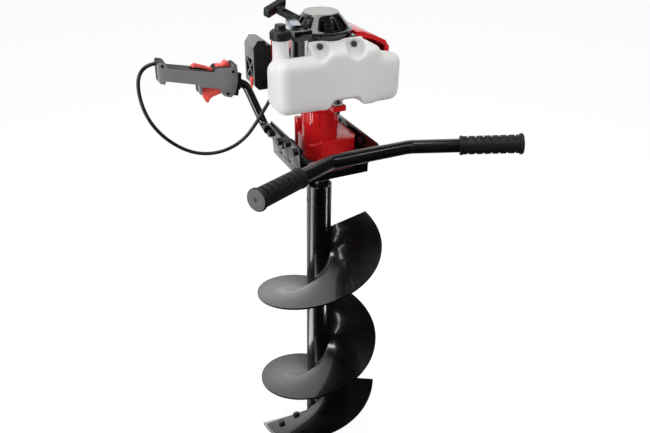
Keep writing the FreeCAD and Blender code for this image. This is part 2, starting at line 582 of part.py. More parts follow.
def make_starter():
    foot = "top + fan_top"
    node(cut("fan_housing", fuse("fan_shell", [
        turned("fan_drum", [("12", "top + fan_foot"), ("fan_r", "top + fan_foot"), ("fan_r", foot),
                            ("fan_r - shell_wall", foot), ("fan_r - shell_wall", "top + fan_foot + 3"),
                            ("12", "top + fan_foot + 3")]),
        block("fan_lug_left", ("-32", "tank_back + 0.3", "top + 266"), ("-19", "-32", foot)),
        block("fan_lug_right", ("29", "tank_back + 0.3", "top + 264"), ("42", "-32", foot)),
    ]), [rod("fan_hollow", "fan_r - shell_wall", "60", "0", "0", "top + fan_foot + 3"),
         rod("lug_hole_left", "screw_d / 2 + fit", "12", "-25.5", "tank_back - 1", "top + 273", "Y"),
         rod("lug_hole_right", "screw_d / 2 + fit", "12", "35.5", "tank_back - 1", "top + 271", "Y")]))

    tangent, heading = rope_line()
    envelope = turned("recoil_outer", [("0", foot), ("fan_r", foot), ("fan_r", "%s + 1" % foot),
                                       ("rim_r", "%s + 1" % foot), ("rim_r", "%s + 7" % foot),
                                       ("fan_r - 2", "%s + 8" % foot), ("recoil_top_r", "top + recoil_top"),
                                       ("0", "top + recoil_top")])
    hollow = turned("recoil_inner", [("0", "%s - 1" % foot), ("fan_r - shell_wall", "%s - 1" % foot),
                                     ("fan_r - shell_wall", "%s + 6" % foot),
                                     ("recoil_top_r - 1.5", "top + recoil_top - shell_wall"),
                                     ("0", "top + recoil_top - shell_wall")])
    lug = block("recoil_lug", ("-66", "tank_back + 0.4", foot), ("-36", "-24", "%s + 15" % foot))
    rope_bore = solid_feature("recoil_rope_bore", Part.makeCylinder(3.4, 60, tangent + heading * 20, heading))
    windows = []
    for i in range(12):
        window = block("window_%d" % i, ("0", "0", "0"), ("30", "8", "16.5"))
        turn = FreeCAD.Rotation(Vector(0, 0, 1), 30 * i + 8)
        window.setExpression("Placement.Base.x", None)
        window.setExpression("Placement.Base.y", None)
        window.Placement = FreeCAD.Placement(turn.multVec(Vector(24, -4, 0)), turn)
        bind(window, "Placement.Base.z", "%s + 10" % foot)
        windows.append(window)
    shell = cut("recoil_shell", fuse("recoil_blank", [envelope, lug]), [hollow, rope_bore] + windows)
    post = rod("recoil_post", "5", "27", "0", "0", "%s + 2.5" % foot)
    node(fuse("recoil_housing", [shell, post]))
    node(rod("recoil_top_disc", "recoil_top_r - 0.6", "1.6", "0", "0", "top + recoil_top"))

    low = "%s + 4" % foot
    node(turned("starter_pulley", [("5 + fit", low), ("pulley_r", low), ("pulley_r", "%s + 2" % low),
                                   ("pulley_r - 5", "%s + 3" % low), ("pulley_r - 5", "%s + 7" % low),
                                   ("pulley_r", "%s + 8" % low), ("pulley_r", "%s + 10" % low),
                                   ("5 + fit", "%s + 10" % low)]))
    node(ring("recoil_spring", "8", "17", "%s + 10.4" % low, "%s + 18" % low))

    side = Vector(0.88, 0.38, 0.18)
    rope_r = number("rope_d / 2")
    rope = Part.makeCylinder(rope_r, ROPE_GUIDE_END + 5 - 19, tangent + heading * 19, heading)
    node(solid_feature("starter_rope", rope))
    guide = Part.makeBox(15, 7, ROPE_GUIDE_END - 30, Vector(-7.5, -3.5, 30))
    guide = guide.cut(Part.makeCylinder(3, 80))
    guide = guide.cut(Part.makeBox(9, 30, ROPE_GUIDE_END - 50, Vector(-4.5, -15, 44)))
    blank = solid_feature("guide_blank", guide, frame_along(heading, tangent, side))
    node(cut("rope_guide", blank, [envelope]))

    grip = Part.makeBox(46, 16, 13, Vector(-23, -8, ROPE_GUIDE_END + 4))
    grip = grip.makeFillet(2.6, grip.Edges)
    stem = Part.makeCylinder(5.5, 8, Vector(0, 0, ROPE_GUIDE_END + 0.4))
    handle = grip.fuse(stem).cut(Part.makeCylinder(rope_r + 0.02, ROPE_GUIDE_END + 5 - 40, Vector(0, 0, 40)))
    node(solid_feature("starter_handle", handle, frame_along(heading, tangent, side)))


def make_intake_and_exhaust():
    centre = "top + crank_z"
    carb_z = "%s + 2" % centre
    barrel = rod("carb_barrel", "13", "40", "-88", "48", carb_z, "X")
    bowl = block("carb_bowl", ("-80", "38", "%s - 19" % carb_z), ("-56", "58", carb_z))
    bracket = block("cable_bracket", ("-80", "22", "%s - 16" % carb_z), ("-68", "40", "%s - 12.5" % carb_z))
    slot = rod("cable_seat", "cable_d / 2 + 0.3", "12", "-73.6", "28.8", "%s - 20" % carb_z)
    spindle = rod("spindle_hole", "2 + fit", "27", "-60", "20", "%s + 2" % carb_z, "Y")
    node(cut("carburettor", fuse("carb_blank", [barrel, bowl, bracket]), [slot, spindle]))
    lever = plate("carb_lever_arm", [("-76", "%s - 1" % carb_z), ("-64", "%s - 3" % carb_z), ("-56", "%s - 1" % carb_z),
                                     ("-56", "%s + 6" % carb_z), ("-76", "%s + 4" % carb_z)], "27.5", "2", "XZ")
    pin = rod("carb_lever_pin", "2", "17", "-60", "28", "%s + 2" % carb_z, "Y")
    node(fuse("carb_throttle_lever", [lever, pin]))

    foot = "top + 190"
    head = "top + 264"
    pin_hole = rod("choke_pin_hole", "1.5 + fit", "20", "-114", "28", "top + 207", "X")
    case = plate("filter_case_blank", [("-103", foot), ("-88", foot), ("-88", head), ("-103", head)], "18", "44", "XZ")
    node(cut("air_filter_case", case, [pin_hole]))
    cover = plate("filter_cover_blank", [("-112", "top + 198"), ("-105", foot), ("-103", foot), ("-103", "%s + 0.3" % head),
                                    ("-90", "%s + 0.3" % head), ("-91", "top + 272"), ("-104", "top + 273"),
                                    ("-112", "top + 262")], "18", "44", "XZ")
    node(cut("air_filter_cover", cover, [pin_hole]))
    hub = rod("choke_hub", "4", "3.4", "-115.6", "28", "top + 207", "X")
    tab = block("choke_tab", ("-115.6", "25.5", "top + 193"), ("-113", "30.5", "top + 206"))
    pin = rod("choke_pin", "1.5", "12", "-113", "28", "top + 207", "X")
    node(fuse("choke_lever", [hub, tab, pin]))

    box = block("muffler_box", ("58", "24", "%s - 24" % centre), ("100", "72", "%s + 22" % centre))
    pipe = rod("muffler_pipe", "7", "16", "82", "10", "%s + 4" % centre, "Y")
    node(fuse("muffler", [box, pipe]))

    outer = [("44", "top + 214"), ("113", "top + 196"), ("117", "top + 251"), ("109", "top + 263"),
             ("84", "top + 275"), ("66", "top + 282"), ("52", "top + 283"), ("52", "top + 226"), ("44", "top + 226")]
    cover = plate("shroud_side", outer, "-28", "108", "XZ")
    inner = [("40", "top + 190"), ("110", "top + 180"), ("114", "top + 250"), ("107", "top + 261"),
             ("83", "top + 272"), ("65", "top + 279"), ("55", "top + 280"), ("55", "top + 229"), ("40", "top + 229")]
    hollow = plate("shroud_hollow", inner, "-25", "102", "XZ")
    grille = plate("shroud_slot", [("66", "top + 258"), ("108", "top + 240"), ("108", "top + 255"), ("84", "top + 267"),
                                   ("66", "top + 271")], "-30", "10", "XZ")
    roof = block("shroud_roof", ("-42", "54", "top + 240"), ("55", "121", "top + 243"))
    back = block("shroud_back", ("-42", "118", "top + 172"), ("55", "121", "top + 243"))
    posts = [rod("shroud_post_%d" % x, "5", "7.4", x, "70", "top + fan_foot - 0.2") for x in (-30, 30)]
    plug = rod("shroud_plug_hole", "14", "10", "0", "114", centre, "Y")
    shell = cut("shroud_shell", cover, [hollow, grille])
    node(cut("engine_shroud", fuse("shroud_blank", [shell, roof, back] + posts), [plug]))


# ---------------------------------------------------------------- fuel tank
def rounded_block(name, outline, start, thick, radius):
    """Prism with every edge rounded."""
    body = plate(name + "_prism", outline, start, thick, "XZ")
    doc.recompute()
    item = doc.addObject("Part::Fillet", name)
    item.Base = body
    count = len(body.Shape.Edges)
    item.Edges = [(index, number(radius), number(radius)) for index in range(1, count + 1)]
    return item


def tank_blocks(name, shrink, radius):
    """The three rounded volumes of the tank, drawn in by a wall."""
    foot = "top + tank_foot + %s" % shrink
    left = "tank_left + %s" % shrink
    right = "tank_right - %s" % shrink
    loaf = [(left, foot), (right, foot), (right, "top + tank_low_head - 8 - %s" % shrink),
            ("38", "top + loaf_head - %s" % shrink), (left, "top + loaf_head - %s" % shrink)]
    front = "tank_front + %s" % shrink
    deep = "tank_back - (tank_front) - 2 * %s" % shrink
    shoulder = [(left, foot), ("tank_mid - %s" % shrink, foot), ("tank_mid - %s" % shrink, "top + tank_shoulder - %s" % shrink),
                (left, "top + tank_shoulder - %s" % shrink)]
    middle = [("-48 + %s" % shrink, foot), ("tank_mid - %s" % shrink, foot),
              ("tank_mid - %s" % shrink, "top + tank_head - 1 - %s" % shrink), ("-48 + %s" % shrink, "top + tank_head - 1 - %s" % shrink)]
    return [rounded_block(name + "_loaf", loaf, front, "loaf_depth - 2 * %s" % shrink, radius),
            rounded_block(name + "_shoulder", shoulder, front, deep, radius),
            rounded_block(name + "_middle", middle, front, deep, "%s - 6" % radius)]


SCREWS = (("left", "-25.5", "273"), ("right", "35.5", "271"))


def scoop(name, x, z, radius, length):
    """Round channel that leaves room for a screwdriver, from the front edge back to the screw's tab."""
    item = rod(name, radius, length, "0", "0", "0")
    for prop in ("x", "y", "z"):
        item.setExpression("Placement.Base." + prop, None)
    heading = Vector(-0.38, -0.925, 0.02).normalize()
    start = vertex(x, "tank_back - 2", "top + %s + 8" % z)
    item.Placement = FreeCAD.Placement(start, FreeCAD.Rotation(Vector(0, 0, 1), heading))
    return item


def make_tank():
    outer = fuse("tank_outer", tank_blocks("outer", "0", "tank_round"))
    inner = fuse("tank_inner", tank_blocks("inner", "tank_wall", "tank_round - tank_wall"))
    fan_z = "top + fan_foot - 1"
    fan_high = "fan_top - fan_foot + 9"
    fan_room = rod("fan_room", "fan_r + 0.6", fan_high, "0", "0", fan_z)
    fan_wall = rod("fan_room_wall", "fan_r + 0.6 + tank_wall", "%s + 2 * tank_wall" % fan_high, "0", "0",
                   "%s - tank_wall" % fan_z)
    notch = plate("tank_notch", [("notch_left", "top + tank_foot - 1"), ("notch_right", "top + tank_foot - 1"),
                                 ("notch_right - 12", "top + tank_foot + notch_high"),
                                 ("notch_left + 12", "top + tank_foot + notch_high")], "tank_front - 1", "notch_deep", "XZ")
    notch_wall = plate("tank_notch_wall", [("notch_left - tank_wall", "top + tank_foot - 1"),
                                           ("notch_right + tank_wall", "top + tank_foot - 1"),
                                           ("notch_right - 10", "top + tank_foot + notch_high + tank_wall"),
                                           ("notch_left + 10", "top + tank_foot + notch_high + tank_wall")],
                       "tank_front - 1", "notch_deep + tank_wall", "XZ")
    scoops = [scoop("scoop_" + side, x, z, "14", "90") for side, x, z in SCREWS]
    scoop_walls = [scoop("scoop_wall_" + side, x, z, "14 + tank_wall", "90") for side, x, z in SCREWS]
    cavity = cut("tank_cavity", inner, [notch_wall, fan_wall] + scoop_walls)
    filler = rod("filler_neck", "filler_r", "45.5", "neck_x", "neck_y", "top + 290 - 34")
    bore = rod("filler_bore", "filler_r - tank_wall", "60", "neck_x", "neck_y", "top + tank_shoulder - 12")
    tabs = [block("tab_flange", ("-46", "tank_back - 4", "top + 258"), ("tank_mid - 3", "tank_back", "top + tank_head + 1")),
            block("tab_low", ("tab_x - 9", "tab_y - 6", "top + tank_foot - 3.5"),
                  ("tab_x + 12", "-62", "top + tank_foot + 0.5"))]
    holes = [rod("tab_hole_" + side, "screw_d / 2 + fit", "20", x, "tank_back - 12", "top + " + z, "Y")
             for side, x, z in SCREWS]
    holes.append(rod("tab_hole_low", "screw_d / 2 + fit", "8", "tab_x", "tab_y", "top + tank_foot - 5"))
    blank = cut("tank_blank", outer, scoops + [notch])
    shell = cut("tank_shell", fuse("tank_body", [blank, filler]), [cavity, bore])
    node(cut("fuel_tank", fuse("tank_tabs", [shell] + tabs), holes + [fan_room]))

    skirt = "top + 296.5"
    cap_r = "filler_r + 2.8"
    node(turned("fuel_cap", [("filler_r + 0.4", skirt), (cap_r, skirt), (cap_r, "%s + 11.5" % skirt),
                             ("%s - 3" % cap_r, "%s + 14" % skirt), ("8.8", "%s + 14" % skirt),
                             ("8.2", "%s + 22" % skirt), ("0", "%s + 22" % skirt), ("0", "%s + 5.2" % skirt),
                             ("filler_r + 0.4", "%s + 5.2" % skirt)], "neck_x", "neck_y"))
    screws = []
    for side, x, z in SCREWS:
        head = rod("screw_head_" + side, "4.6", "4", x, "tank_back - 8", "top + " + z, "Y")
        shank = rod("screw_shank_" + side, "screw_d / 2", "14", x, "tank_back - 6", "top + " + z, "Y")
        screws.append(fuse("tank_screw_" + side, [head, shank]))
    head = rod("screw_head_low", "4.6", "4", "tab_x", "tab_y", "top + tank_foot + 0.5")
    shank = rod("screw_shank_low", "screw_d / 2", "20", "tab_x", "tab_y", "top + tank_foot - 19")
    nut = hexagon("screw_nut_low_blank", "9", "4", "tab_x", "tab_y", "top + tank_foot - 17")
    screws += [fuse("tank_screw_low", [head, shank]), cut("screw_nut_low", nut, [shank])]
    node(group("tank_screws", screws))


# ---------------------------------------------------------------- tray and handlebar
def make_tray():
    floor_low = "top + floor_z - floor_thick"
    floor_top = "top + floor_z"
    inner_x = "wall_x - wall_thick"
    floor = plate("tray_floor", [("-wall_x", "-64"), ("wall_x", "-64"), ("wall_x", "60"), ("-wall_x", "60")],
                  floor_low, "floor_thick", "XY",
                  [("0", "0", "24"), ("-foot_x", "-foot_y", "3 + fit"), ("foot_x", "-foot_y", "3 + fit")])
    holes = [("spare_hole_gap / 2", "top + spare_hole_z", "spare_hole_d / 2"),
             ("-spare_hole_gap / 2", "top + spare_hole_z", "spare_hole_d / 2")]
    holes += [(y, "top + %s" % z, "bolt_d / 2 + fit") for y, z in WALL_BOLTS]
    left = plate("tray_left", [("-67", floor_top), ("60", floor_top), ("72", "top + wall_top"),
                               ("-60", "top + wall_top"), ("-62", "top + wall_top - 14"),
                               ("-62.5", "top + wall_top - 26"), ("-65", "top + wall_top - 40")],
                 "-wall_x", "wall_thick", "YZ", holes)
    right = plate("tray_right", [("-64", floor_top), ("60", floor_top), ("72", "top + wall_top"),
                                 ("-94", "top + wall_top"), ("-100", "top + wall_top - 3"),
                                 ("-102", "top + wall_top - 10"), ("-98", "top + wall_top - 24"),
                                 ("-70", "top + floor_z + 12")], inner_x, "wall_thick", "YZ", holes)
    lip = block("tray_lip", ("-58", "-64", "top + 40"), ("wall_x", "-60", floor_low))
    node(fuse("frame_tray", [floor, left, right, lip]))


WALL_BOLTS = [("54", "92"), ("12", "92"), ("-8", "96"), ("-43", "94")]


def fixed_radius(length):
    return lambda before, corner, after, half_turn: length


def make_handlebar():
    points = [vertex("-grip_x", "grip_y", "top + grip_z"), vertex("-bar_half", "bar_y", "top + bar_z"),
              vertex("bar_half", "bar_y", "top + bar_z"), vertex("grip_x", "grip_y", "top + grip_z")]
    bend = fixed_radius(number("bar_bend"))
    bar, length, radii = tube_along(points, number("bar_d / 2"), bend)
    hollow, length, radii = tube_along(points, number("bar_d / 2 - bar_wall"), bend)
    outline = [("bar_y + 3", "top + bar_z + 7"), ("bar_y + 3", "top + bar_z - 9"), ("-74", "top + floor_z + 10"),
               ("-62", "top + floor_z + 0.2"), ("-42", "top + floor_z + 0.2"), ("-42", "top + floor_z + 5"),
               ("-52", "top + floor_z + 18")]
    filler = solid_feature("bar_filler", bar)
    straps = []
    for side, start in (("left", "-58"), ("right", "52")):
        strap = plate("strap_" + side, outline, start, "6", "YZ")
        straps.append(strap)
    feet = [block("foot_left", ("-58", "-61", "top + floor_z"), ("-38", "-41", "top + floor_z + 4")),
            block("foot_right", ("38", "-61", "top + floor_z"), ("58", "-41", "top + floor_z + 4"))]
    holes = [rod("foot_hole_left", "3 + fit", "12", "-foot_x", "-foot_y", "top + floor_z - 2"),
             rod("foot_hole_right", "3 + fit", "12", "foot_x", "-foot_y", "top + floor_z - 2")]
    cut_straps = cut("straps_trimmed", fuse("strap_pair", straps + feet), [filler] + holes)
    hollow_bar = solid_feature("bar_tube", bar.cut(hollow))
    node(fuse("handlebar", [hollow_bar, cut_straps]))

    grips = []
    for side, sign in (("left", -1), ("right", 1)):
        end = vertex("%d * grip_x" % sign, "grip_y", "top + grip_z")
        bend_point = vertex("%d * bar_half" % sign, "bar_y", "top + bar_z")
        heading = (bend_point - end).normalize()
        grip_r = number("grip_d / 2")
        grip_length = number("grip_length")
        sleeve = Part.makeCylinder(grip_r, grip_length)
        sleeve = sleeve.fuse(Part.makeCylinder(grip_r + number("grip_flange"), 5))
        sleeve = sleeve.cut(Part.makeCylinder(number("bar_d / 2 + 0.02"), grip_length, Vector(0, 0, 3)))
        sleeve = sleeve.cut(Part.makeCylinder(2.5, 10, Vector(0, 0, -1)))
        spot = frame_along(heading, end - heading * 3, Vector(0, 0, 1))
        grips.append(solid_feature("grip_" + side, sleeve, spot))
    node(group("handlebar_grips", grips))


def make_frame_bolts():
    bolts = []
    for index, (y, z) in enumerate(WALL_BOLTS):
        level = "top + %s" % z
        seat = "-wall_x - 6" if index < 2 else "-wall_x"
        head = hexagon("wall_head_%d" % index, "13", "6", "%s - 6" % seat, y, level, "X")
        shank = rod("wall_shank_%d" % index, "bolt_d / 2", "13 + (-wall_x) - (%s)" % seat, seat, y, level, "X")
        nut = hexagon("wall_nut_%d" % index, "13", "6.5", "-wall_x + wall_thick", y, level, "X")
        bolts += [fuse("wall_bolt_%d" % index, [head, shank]), cut("wall_nut_cut_%d" % index, nut, [shank])]
        head = hexagon("right_head_%d" % index, "13", "5", "wall_x - wall_thick - 5", y, level, "X")
        shank = rod("right_shank_%d" % index, "bolt_d / 2", "wall_thick + 6", "wall_x - wall_thick", y, level, "X")
        bolts.append(fuse("right_bolt_%d" % index, [head, shank]))
    for side, x in (("left", "-foot_x"), ("right", "foot_x")):
        head = hexagon("foot_head_" + side, "10", "5", x, "-foot_y", "top + floor_z + 4")
        shank = rod("foot_shank_" + side, "3", "floor_thick + 12", x, "-foot_y", "top + floor_z - floor_thick - 7")
        nut = hexagon("foot_nut_" + side, "10", "5", x, "-foot_y", "top + floor_z - floor_thick - 5")
        bolts += [fuse("foot_bolt_" + side, [head, shank]), cut("foot_nut_cut_" + side, nut, [shank])]
    node(group("frame_bolts", bolts))


# ---------------------------------------------------------------- throttle side
ARM_BEND = ("-95", "arm_y", "top + 168")
ARM_END = ("-138", "arm_y", "top + 178.4")
ARM_ROUND = 16.0


def make_throttle_arm():
    points = [vertex("-wall_x - arm_d / 2 - 0.5", "58", "top + 94"), vertex("-wall_x - arm_d / 2 - 0.5", "82", "top + 98"),
              vertex(*ARM_BEND), vertex(*ARM_END)]
    bends = {1: 20.0, 2: ARM_ROUND}

    def bend(before, corner, after, half_turn):
        return bends[1] if corner == points[1] else bends[2]

    bar, length, radii = tube_along(points, number("arm_d / 2"), bend)
    tube = solid_feature("arm_tube", bar)
    holes = [(y, "top + %s" % z, "bolt_d / 2 + fit") for y, z in WALL_BOLTS[:2]]
    flat = plate("arm_flat", [("2", "top + 82"), ("66", "top + 82"), ("72", "top + 90"), ("72", "top + 104"),
                              ("8", "top + 102"), ("2", "top + 98")], "-wall_x - 6", "6", "YZ", holes)
    clear = block("arm_wall_clear", ("-wall_x", "0", "top + 60"), ("0", "100", "top + 120"))
    head_clear = block("arm_head_clear", ("-wall_x - 20", "44", "top + 80"), ("-wall_x - 6", "64", "top + 104"))
    node(fuse("throttle_arm", [flat, cut("arm_tube_cut", tube, [clear, head_clear])]))


HANDLE_OUTLINE = [("-113", "200"), ("-114", "210"), ("-120.5", "210.5"), ("-122", "206.5"), ("-150", "208.5"),
                  ("-157", "202"), ("-236", "219"), ("-238.5", "228.5"), ("-248", "231"), ("-251", "228.5"),
                  ("-251.5", "194"), ("-243.5", "191"), ("-240.5", "196.5"), ("-190", "184"), ("-183.6", "181.5"),
                  ("-183.6", "164.5"), ("-180", "163.5"), ("-180", "178"), ("-147.5", "170.5"), ("-143.5", "159"),
                  ("-138", "155"), ("-128", "151.5"), ("-119.5", "158"), ("-114", "178")]
TRIGGER_PIVOT = ("-140.5", "164.5")
LOCK_PIVOT = ("-159.5", "200.5")
SWITCH_PIVOT = ("-136", "203.5")


def above(outline):
    return [(x, "top + %s" % z) for x, z in outline]


def make_handle():
    middle = "arm_y"
    arm_bore = Part.makeCylinder(number("arm_d / 2 + 0.02"), 60, vertex(*ARM_BEND),
                                 vertex(*ARM_END) - vertex(*ARM_BEND))
    bore = solid_feature("handle_bore", arm_bore)
    pockets = [block("trigger_pocket", ("-179.6", "%s - 8" % middle, "top + 140"), ("-132", "%s + 8" % middle, "top + 192")),
               plate("lock_pocket", above([("-155.5", "196"), ("-155.5", "212"), ("-196", "222"), ("-196", "202")]),
                     "%s - 6" % middle, "12", "XZ"),
               block("switch_pocket", ("-151", "%s - 7.5" % middle, "top + 197"), ("-121.5", "%s + 7.5" % middle, "top + 216")),
               rod("cable_pocket", "cable_d / 2 + 0.1", "14", "-253", middle, "top + 225.5", "X")]
    pins = []
    for name, (x, z), radius, reach in (("trigger", TRIGGER_PIVOT, "2", "8"), ("lock", LOCK_PIVOT, "1.5", "6"),
                                        ("switch", SWITCH_PIVOT, "1.5", "7.5")):
        pins.append(rod(name + "_pin", radius, "2 * %s" % reach, x, "%s - %s" % (middle, reach), "top + %s" % z, "Y"))
    front = plate("handle_front_blank", above(HANDLE_OUTLINE), "%s - handle_half" % middle, "handle_half - 0.05", "XZ")
    rear = plate("handle_rear_blank", above(HANDLE_OUTLINE), middle + " + 0.05", "handle_half - 0.05", "XZ")
    node(cut("handle_front_shell", front, [bore] + pockets))
    node(fuse("handle_rear_shell", [cut("handle_rear_cut", rear, [bore] + pockets)] + pins))

    trigger = plate("trigger", above([("-136.5", "168.4"), ("-136.5", "161.5"), ("-143", "159.4"), ("-158.5", "155.3"),
                                      ("-164.8", "152"), ("-167.5", "146.5"), ("-171", "145"), ("-175", "152.6"),
                                      ("-177.6", "165.5"), ("-178.4", "177.5"), ("-170", "177.5"), ("-146", "172")]),
                    "%s - 7.4" % middle, "14.8", "XZ",
                    [(TRIGGER_PIVOT[0], "top + %s" % TRIGGER_PIVOT[1], "2 + fit")])
    node(trigger)
    lock = plate("lock_lever", above([("-156.2", "198"), ("-156.2", "206"), ("-186", "217"), ("-192", "213.5"),
                                      ("-191", "210.5"), ("-186", "213"), ("-163", "204.8"), ("-163", "198")]),
                 "%s - 5.4" % middle, "10.8", "XZ",
                 [(LOCK_PIVOT[0], "top + %s" % LOCK_PIVOT[1], "1.5 + fit")])
    node(lock)
    switch = plate("stop_switch", above([("-149", "206.5"), ("-147", "211.5"), ("-138", "210"), ("-131.5", "216"),
                                         ("-127", "215"), ("-123.5", "206.5"), ("-130", "200.5"), ("-142", "200.5")]),
                   "%s - 7" % middle, "14", "XZ",
                   [(SWITCH_PIVOT[0], "top + %s" % SWITCH_PIVOT[1], "1.5 + fit")])
    node(switch)

    heading = (vertex(*ARM_END) - vertex(*ARM_BEND)).normalize()
    below = (vertex(*ARM_BEND) - vertex("-wall_x - arm_d / 2 - 0.5", "82", "top + 98")).normalize()
    start = vertex(*ARM_BEND) + heading * (ARM_ROUND * math.tan(below.getAngle(heading) / 2) + 2.0)
    collar = Part.makeCylinder(13, 8, Vector(0, 0, 0)).fuse(Part.makeBox(9, 12, 8, Vector(-22, -6, 0)))
    collar = collar.fuse(Part.makeBox(8, 10, 8, Vector(11, -5, 0)))
    collar = collar.cut(Part.makeCylinder(number("arm_d / 2 + 0.02"), 20, Vector(0, 0, -5)))
    node(solid_feature("handle_clamp", collar, frame_along(heading, start, Vector(0, 0, 1))))


CABLE_ROUTE = [(-251.8, 118, 225.5), (-262.2, 118, 224.3), (-272.5, 117.5, 219.6), (-280.2, 116.5, 212.0),
               (-285.0, 115, 201.4), (-287.0, 113, 188.0), (-287.0, 110, 170.0), (-282.6, 106, 145.0),
               (-272.4, 102, 120.6), (-255.4, 98, 97.0), (-233.6, 94, 77.4), (-210.7, 90, 64.2),
               (-186.5, 86, 58.2), (-161.3, 81, 59.6), (-137.0, 75, 68.8), (-116.0, 68, 86.0),
               (-100.5, 60, 110.0), (-89.5, 49.5, 136.0), (-80.5, 38.0, 158.5), (-74.6, 30.5, 176.5),
               (-73.5, 28.5, 193.4)]


def make_cable():
    """The throttle cable: a chosen route, with each arc as large as its two runs allow."""
    top = number("top")
    points = [Vector(x, y, z + top) for x, y, z in CABLE_ROUTE]

    def widest(before, corner, after, half_turn):
        return 0.45 * min((before - corner).Length, (after - corner).Length) / math.tan(half_turn)

    radius = number("cable_d / 2")
    cable, length, radii = tube_along(points, radius, widest)
    print("cable length %.0f, volume ratio %.4f" % (length, cable.Volume / (math.pi * radius ** 2 * length)))
    print("cable radii " + " ".join("%.0f" % value for value in radii))
    node(solid_feature("throttle_cable", cable))


# ---------------------------------------------------------------- build and write
def write_parts():
    doc.recompute()
    faults = [item.Name for item in doc.Objects if "Invalid" in item.State or "Error" in item.State]
    for item in NODES:
        shape = item.Shape
        if shape.isNull() or not shape.isValid() or not shape.Solids:
            faults.append("shape of " + item.Name)
    if faults:
        raise SystemExit("failed: " + ", ".join(faults))
    os.makedirs("parts", exist_ok=True)
    for item in NODES:
        item.Shape.exportStep("parts/%s.step" % item.Label)
    print("%d sub-parts" % len(NODES))


make_bit()
make_gears()
make_gearbox()
make_clutch()
make_crank()
make_flywheel()
make_starter()
make_intake_and_exhaust()
make_tank()
make_tray()
make_handlebar()
make_frame_bolts()
make_throttle_arm()
make_handle()
make_cable()
write_parts()
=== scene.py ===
import json
import math
import bmesh
import bpy
from mathutils import Matrix, Quaternion, Vector


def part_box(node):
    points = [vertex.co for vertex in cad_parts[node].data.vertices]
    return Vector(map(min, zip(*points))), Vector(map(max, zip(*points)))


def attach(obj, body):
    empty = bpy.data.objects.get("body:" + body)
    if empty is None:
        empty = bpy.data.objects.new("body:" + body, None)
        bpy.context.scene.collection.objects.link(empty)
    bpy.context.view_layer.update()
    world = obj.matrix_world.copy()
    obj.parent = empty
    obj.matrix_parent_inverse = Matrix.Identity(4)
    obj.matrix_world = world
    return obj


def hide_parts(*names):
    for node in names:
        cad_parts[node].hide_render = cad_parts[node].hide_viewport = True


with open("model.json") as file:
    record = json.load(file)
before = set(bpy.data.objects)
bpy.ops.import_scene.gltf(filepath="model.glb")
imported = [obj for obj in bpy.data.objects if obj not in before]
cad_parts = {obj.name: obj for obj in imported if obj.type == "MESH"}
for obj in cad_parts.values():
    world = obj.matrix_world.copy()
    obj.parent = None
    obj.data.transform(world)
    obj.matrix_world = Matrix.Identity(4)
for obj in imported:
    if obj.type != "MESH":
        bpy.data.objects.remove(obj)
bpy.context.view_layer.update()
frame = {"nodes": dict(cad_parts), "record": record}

bpy.ops.object.select_all(action="DESELECT")
nodes = frame["nodes"]
TOP = 0.670  # height of the drill tube's top, in metres

# Camera.  A slightly wide lens, a little to the operator's left and above the tank, tilted by less than
# one degree.
bpy.ops.object.camera_add(location=(-0.4624, -0.9750, 1.2353))
camera = bpy.context.active_object
camera.name = "camera"
camera.data.lens = 36
camera.data.sensor_width = 36
heading = Vector((0.3773, 0.7736, -0.5090))
camera.rotation_mode = "QUATERNION"
camera.rotation_quaternion = heading.to_track_quat("-Z", "Y") @ Quaternion((0, 0, 1), math.radians(0.85))
camera.data.clip_end = 50
bpy.context.scene.camera = camera

# Throttle cable.  A black sleeved control cable that leaves the handle's far end, loops down and out
# in free air, and climbs behind the tray to the bracket under the carburettor.
CABLE_ROUTE = [(-251.8, 118, 225.5), (-262.2, 118, 224.3), (-272.5, 117.5, 219.6), (-280.2, 116.5, 212.0),
               (-285.0, 115, 201.4), (-287.0, 113, 188.0), (-287.0, 110, 170.0), (-282.6, 106, 145.0),
               (-272.4, 102, 120.6), (-255.4, 98, 97.0), (-233.6, 94, 77.4), (-210.7, 90, 64.2),
               (-186.5, 86, 58.2), (-161.3, 81, 59.6), (-137.0, 75, 68.8), (-116.0, 68, 86.0),
               (-100.5, 60, 110.0), (-89.5, 49.5, 136.0), (-80.5, 38.0, 158.5), (-74.6, 30.5, 176.5),
               (-73.5, 28.5, 193.4)]
CABLE_R = 0.00325
curve = bpy.data.curves.new("cable_sleeve", "CURVE")
curve.dimensions = "3D"
spline = curve.splines.new("NURBS")
spline.points.add(len(CABLE_ROUTE) - 1)
for point, (x, y, z) in zip(spline.points, CABLE_ROUTE):
    point.co = (x / 1000, y / 1000, TOP + z / 1000, 1)
spline.order_u = 3
spline.use_endpoint_u = True
spline.resolution_u = 10
curve.bevel_depth = CABLE_R
curve.bevel_resolution = 5
curve.use_fill_caps = True
cable = bpy.data.objects.new("cable_sleeve", curve)
bpy.context.collection.objects.link(cable)


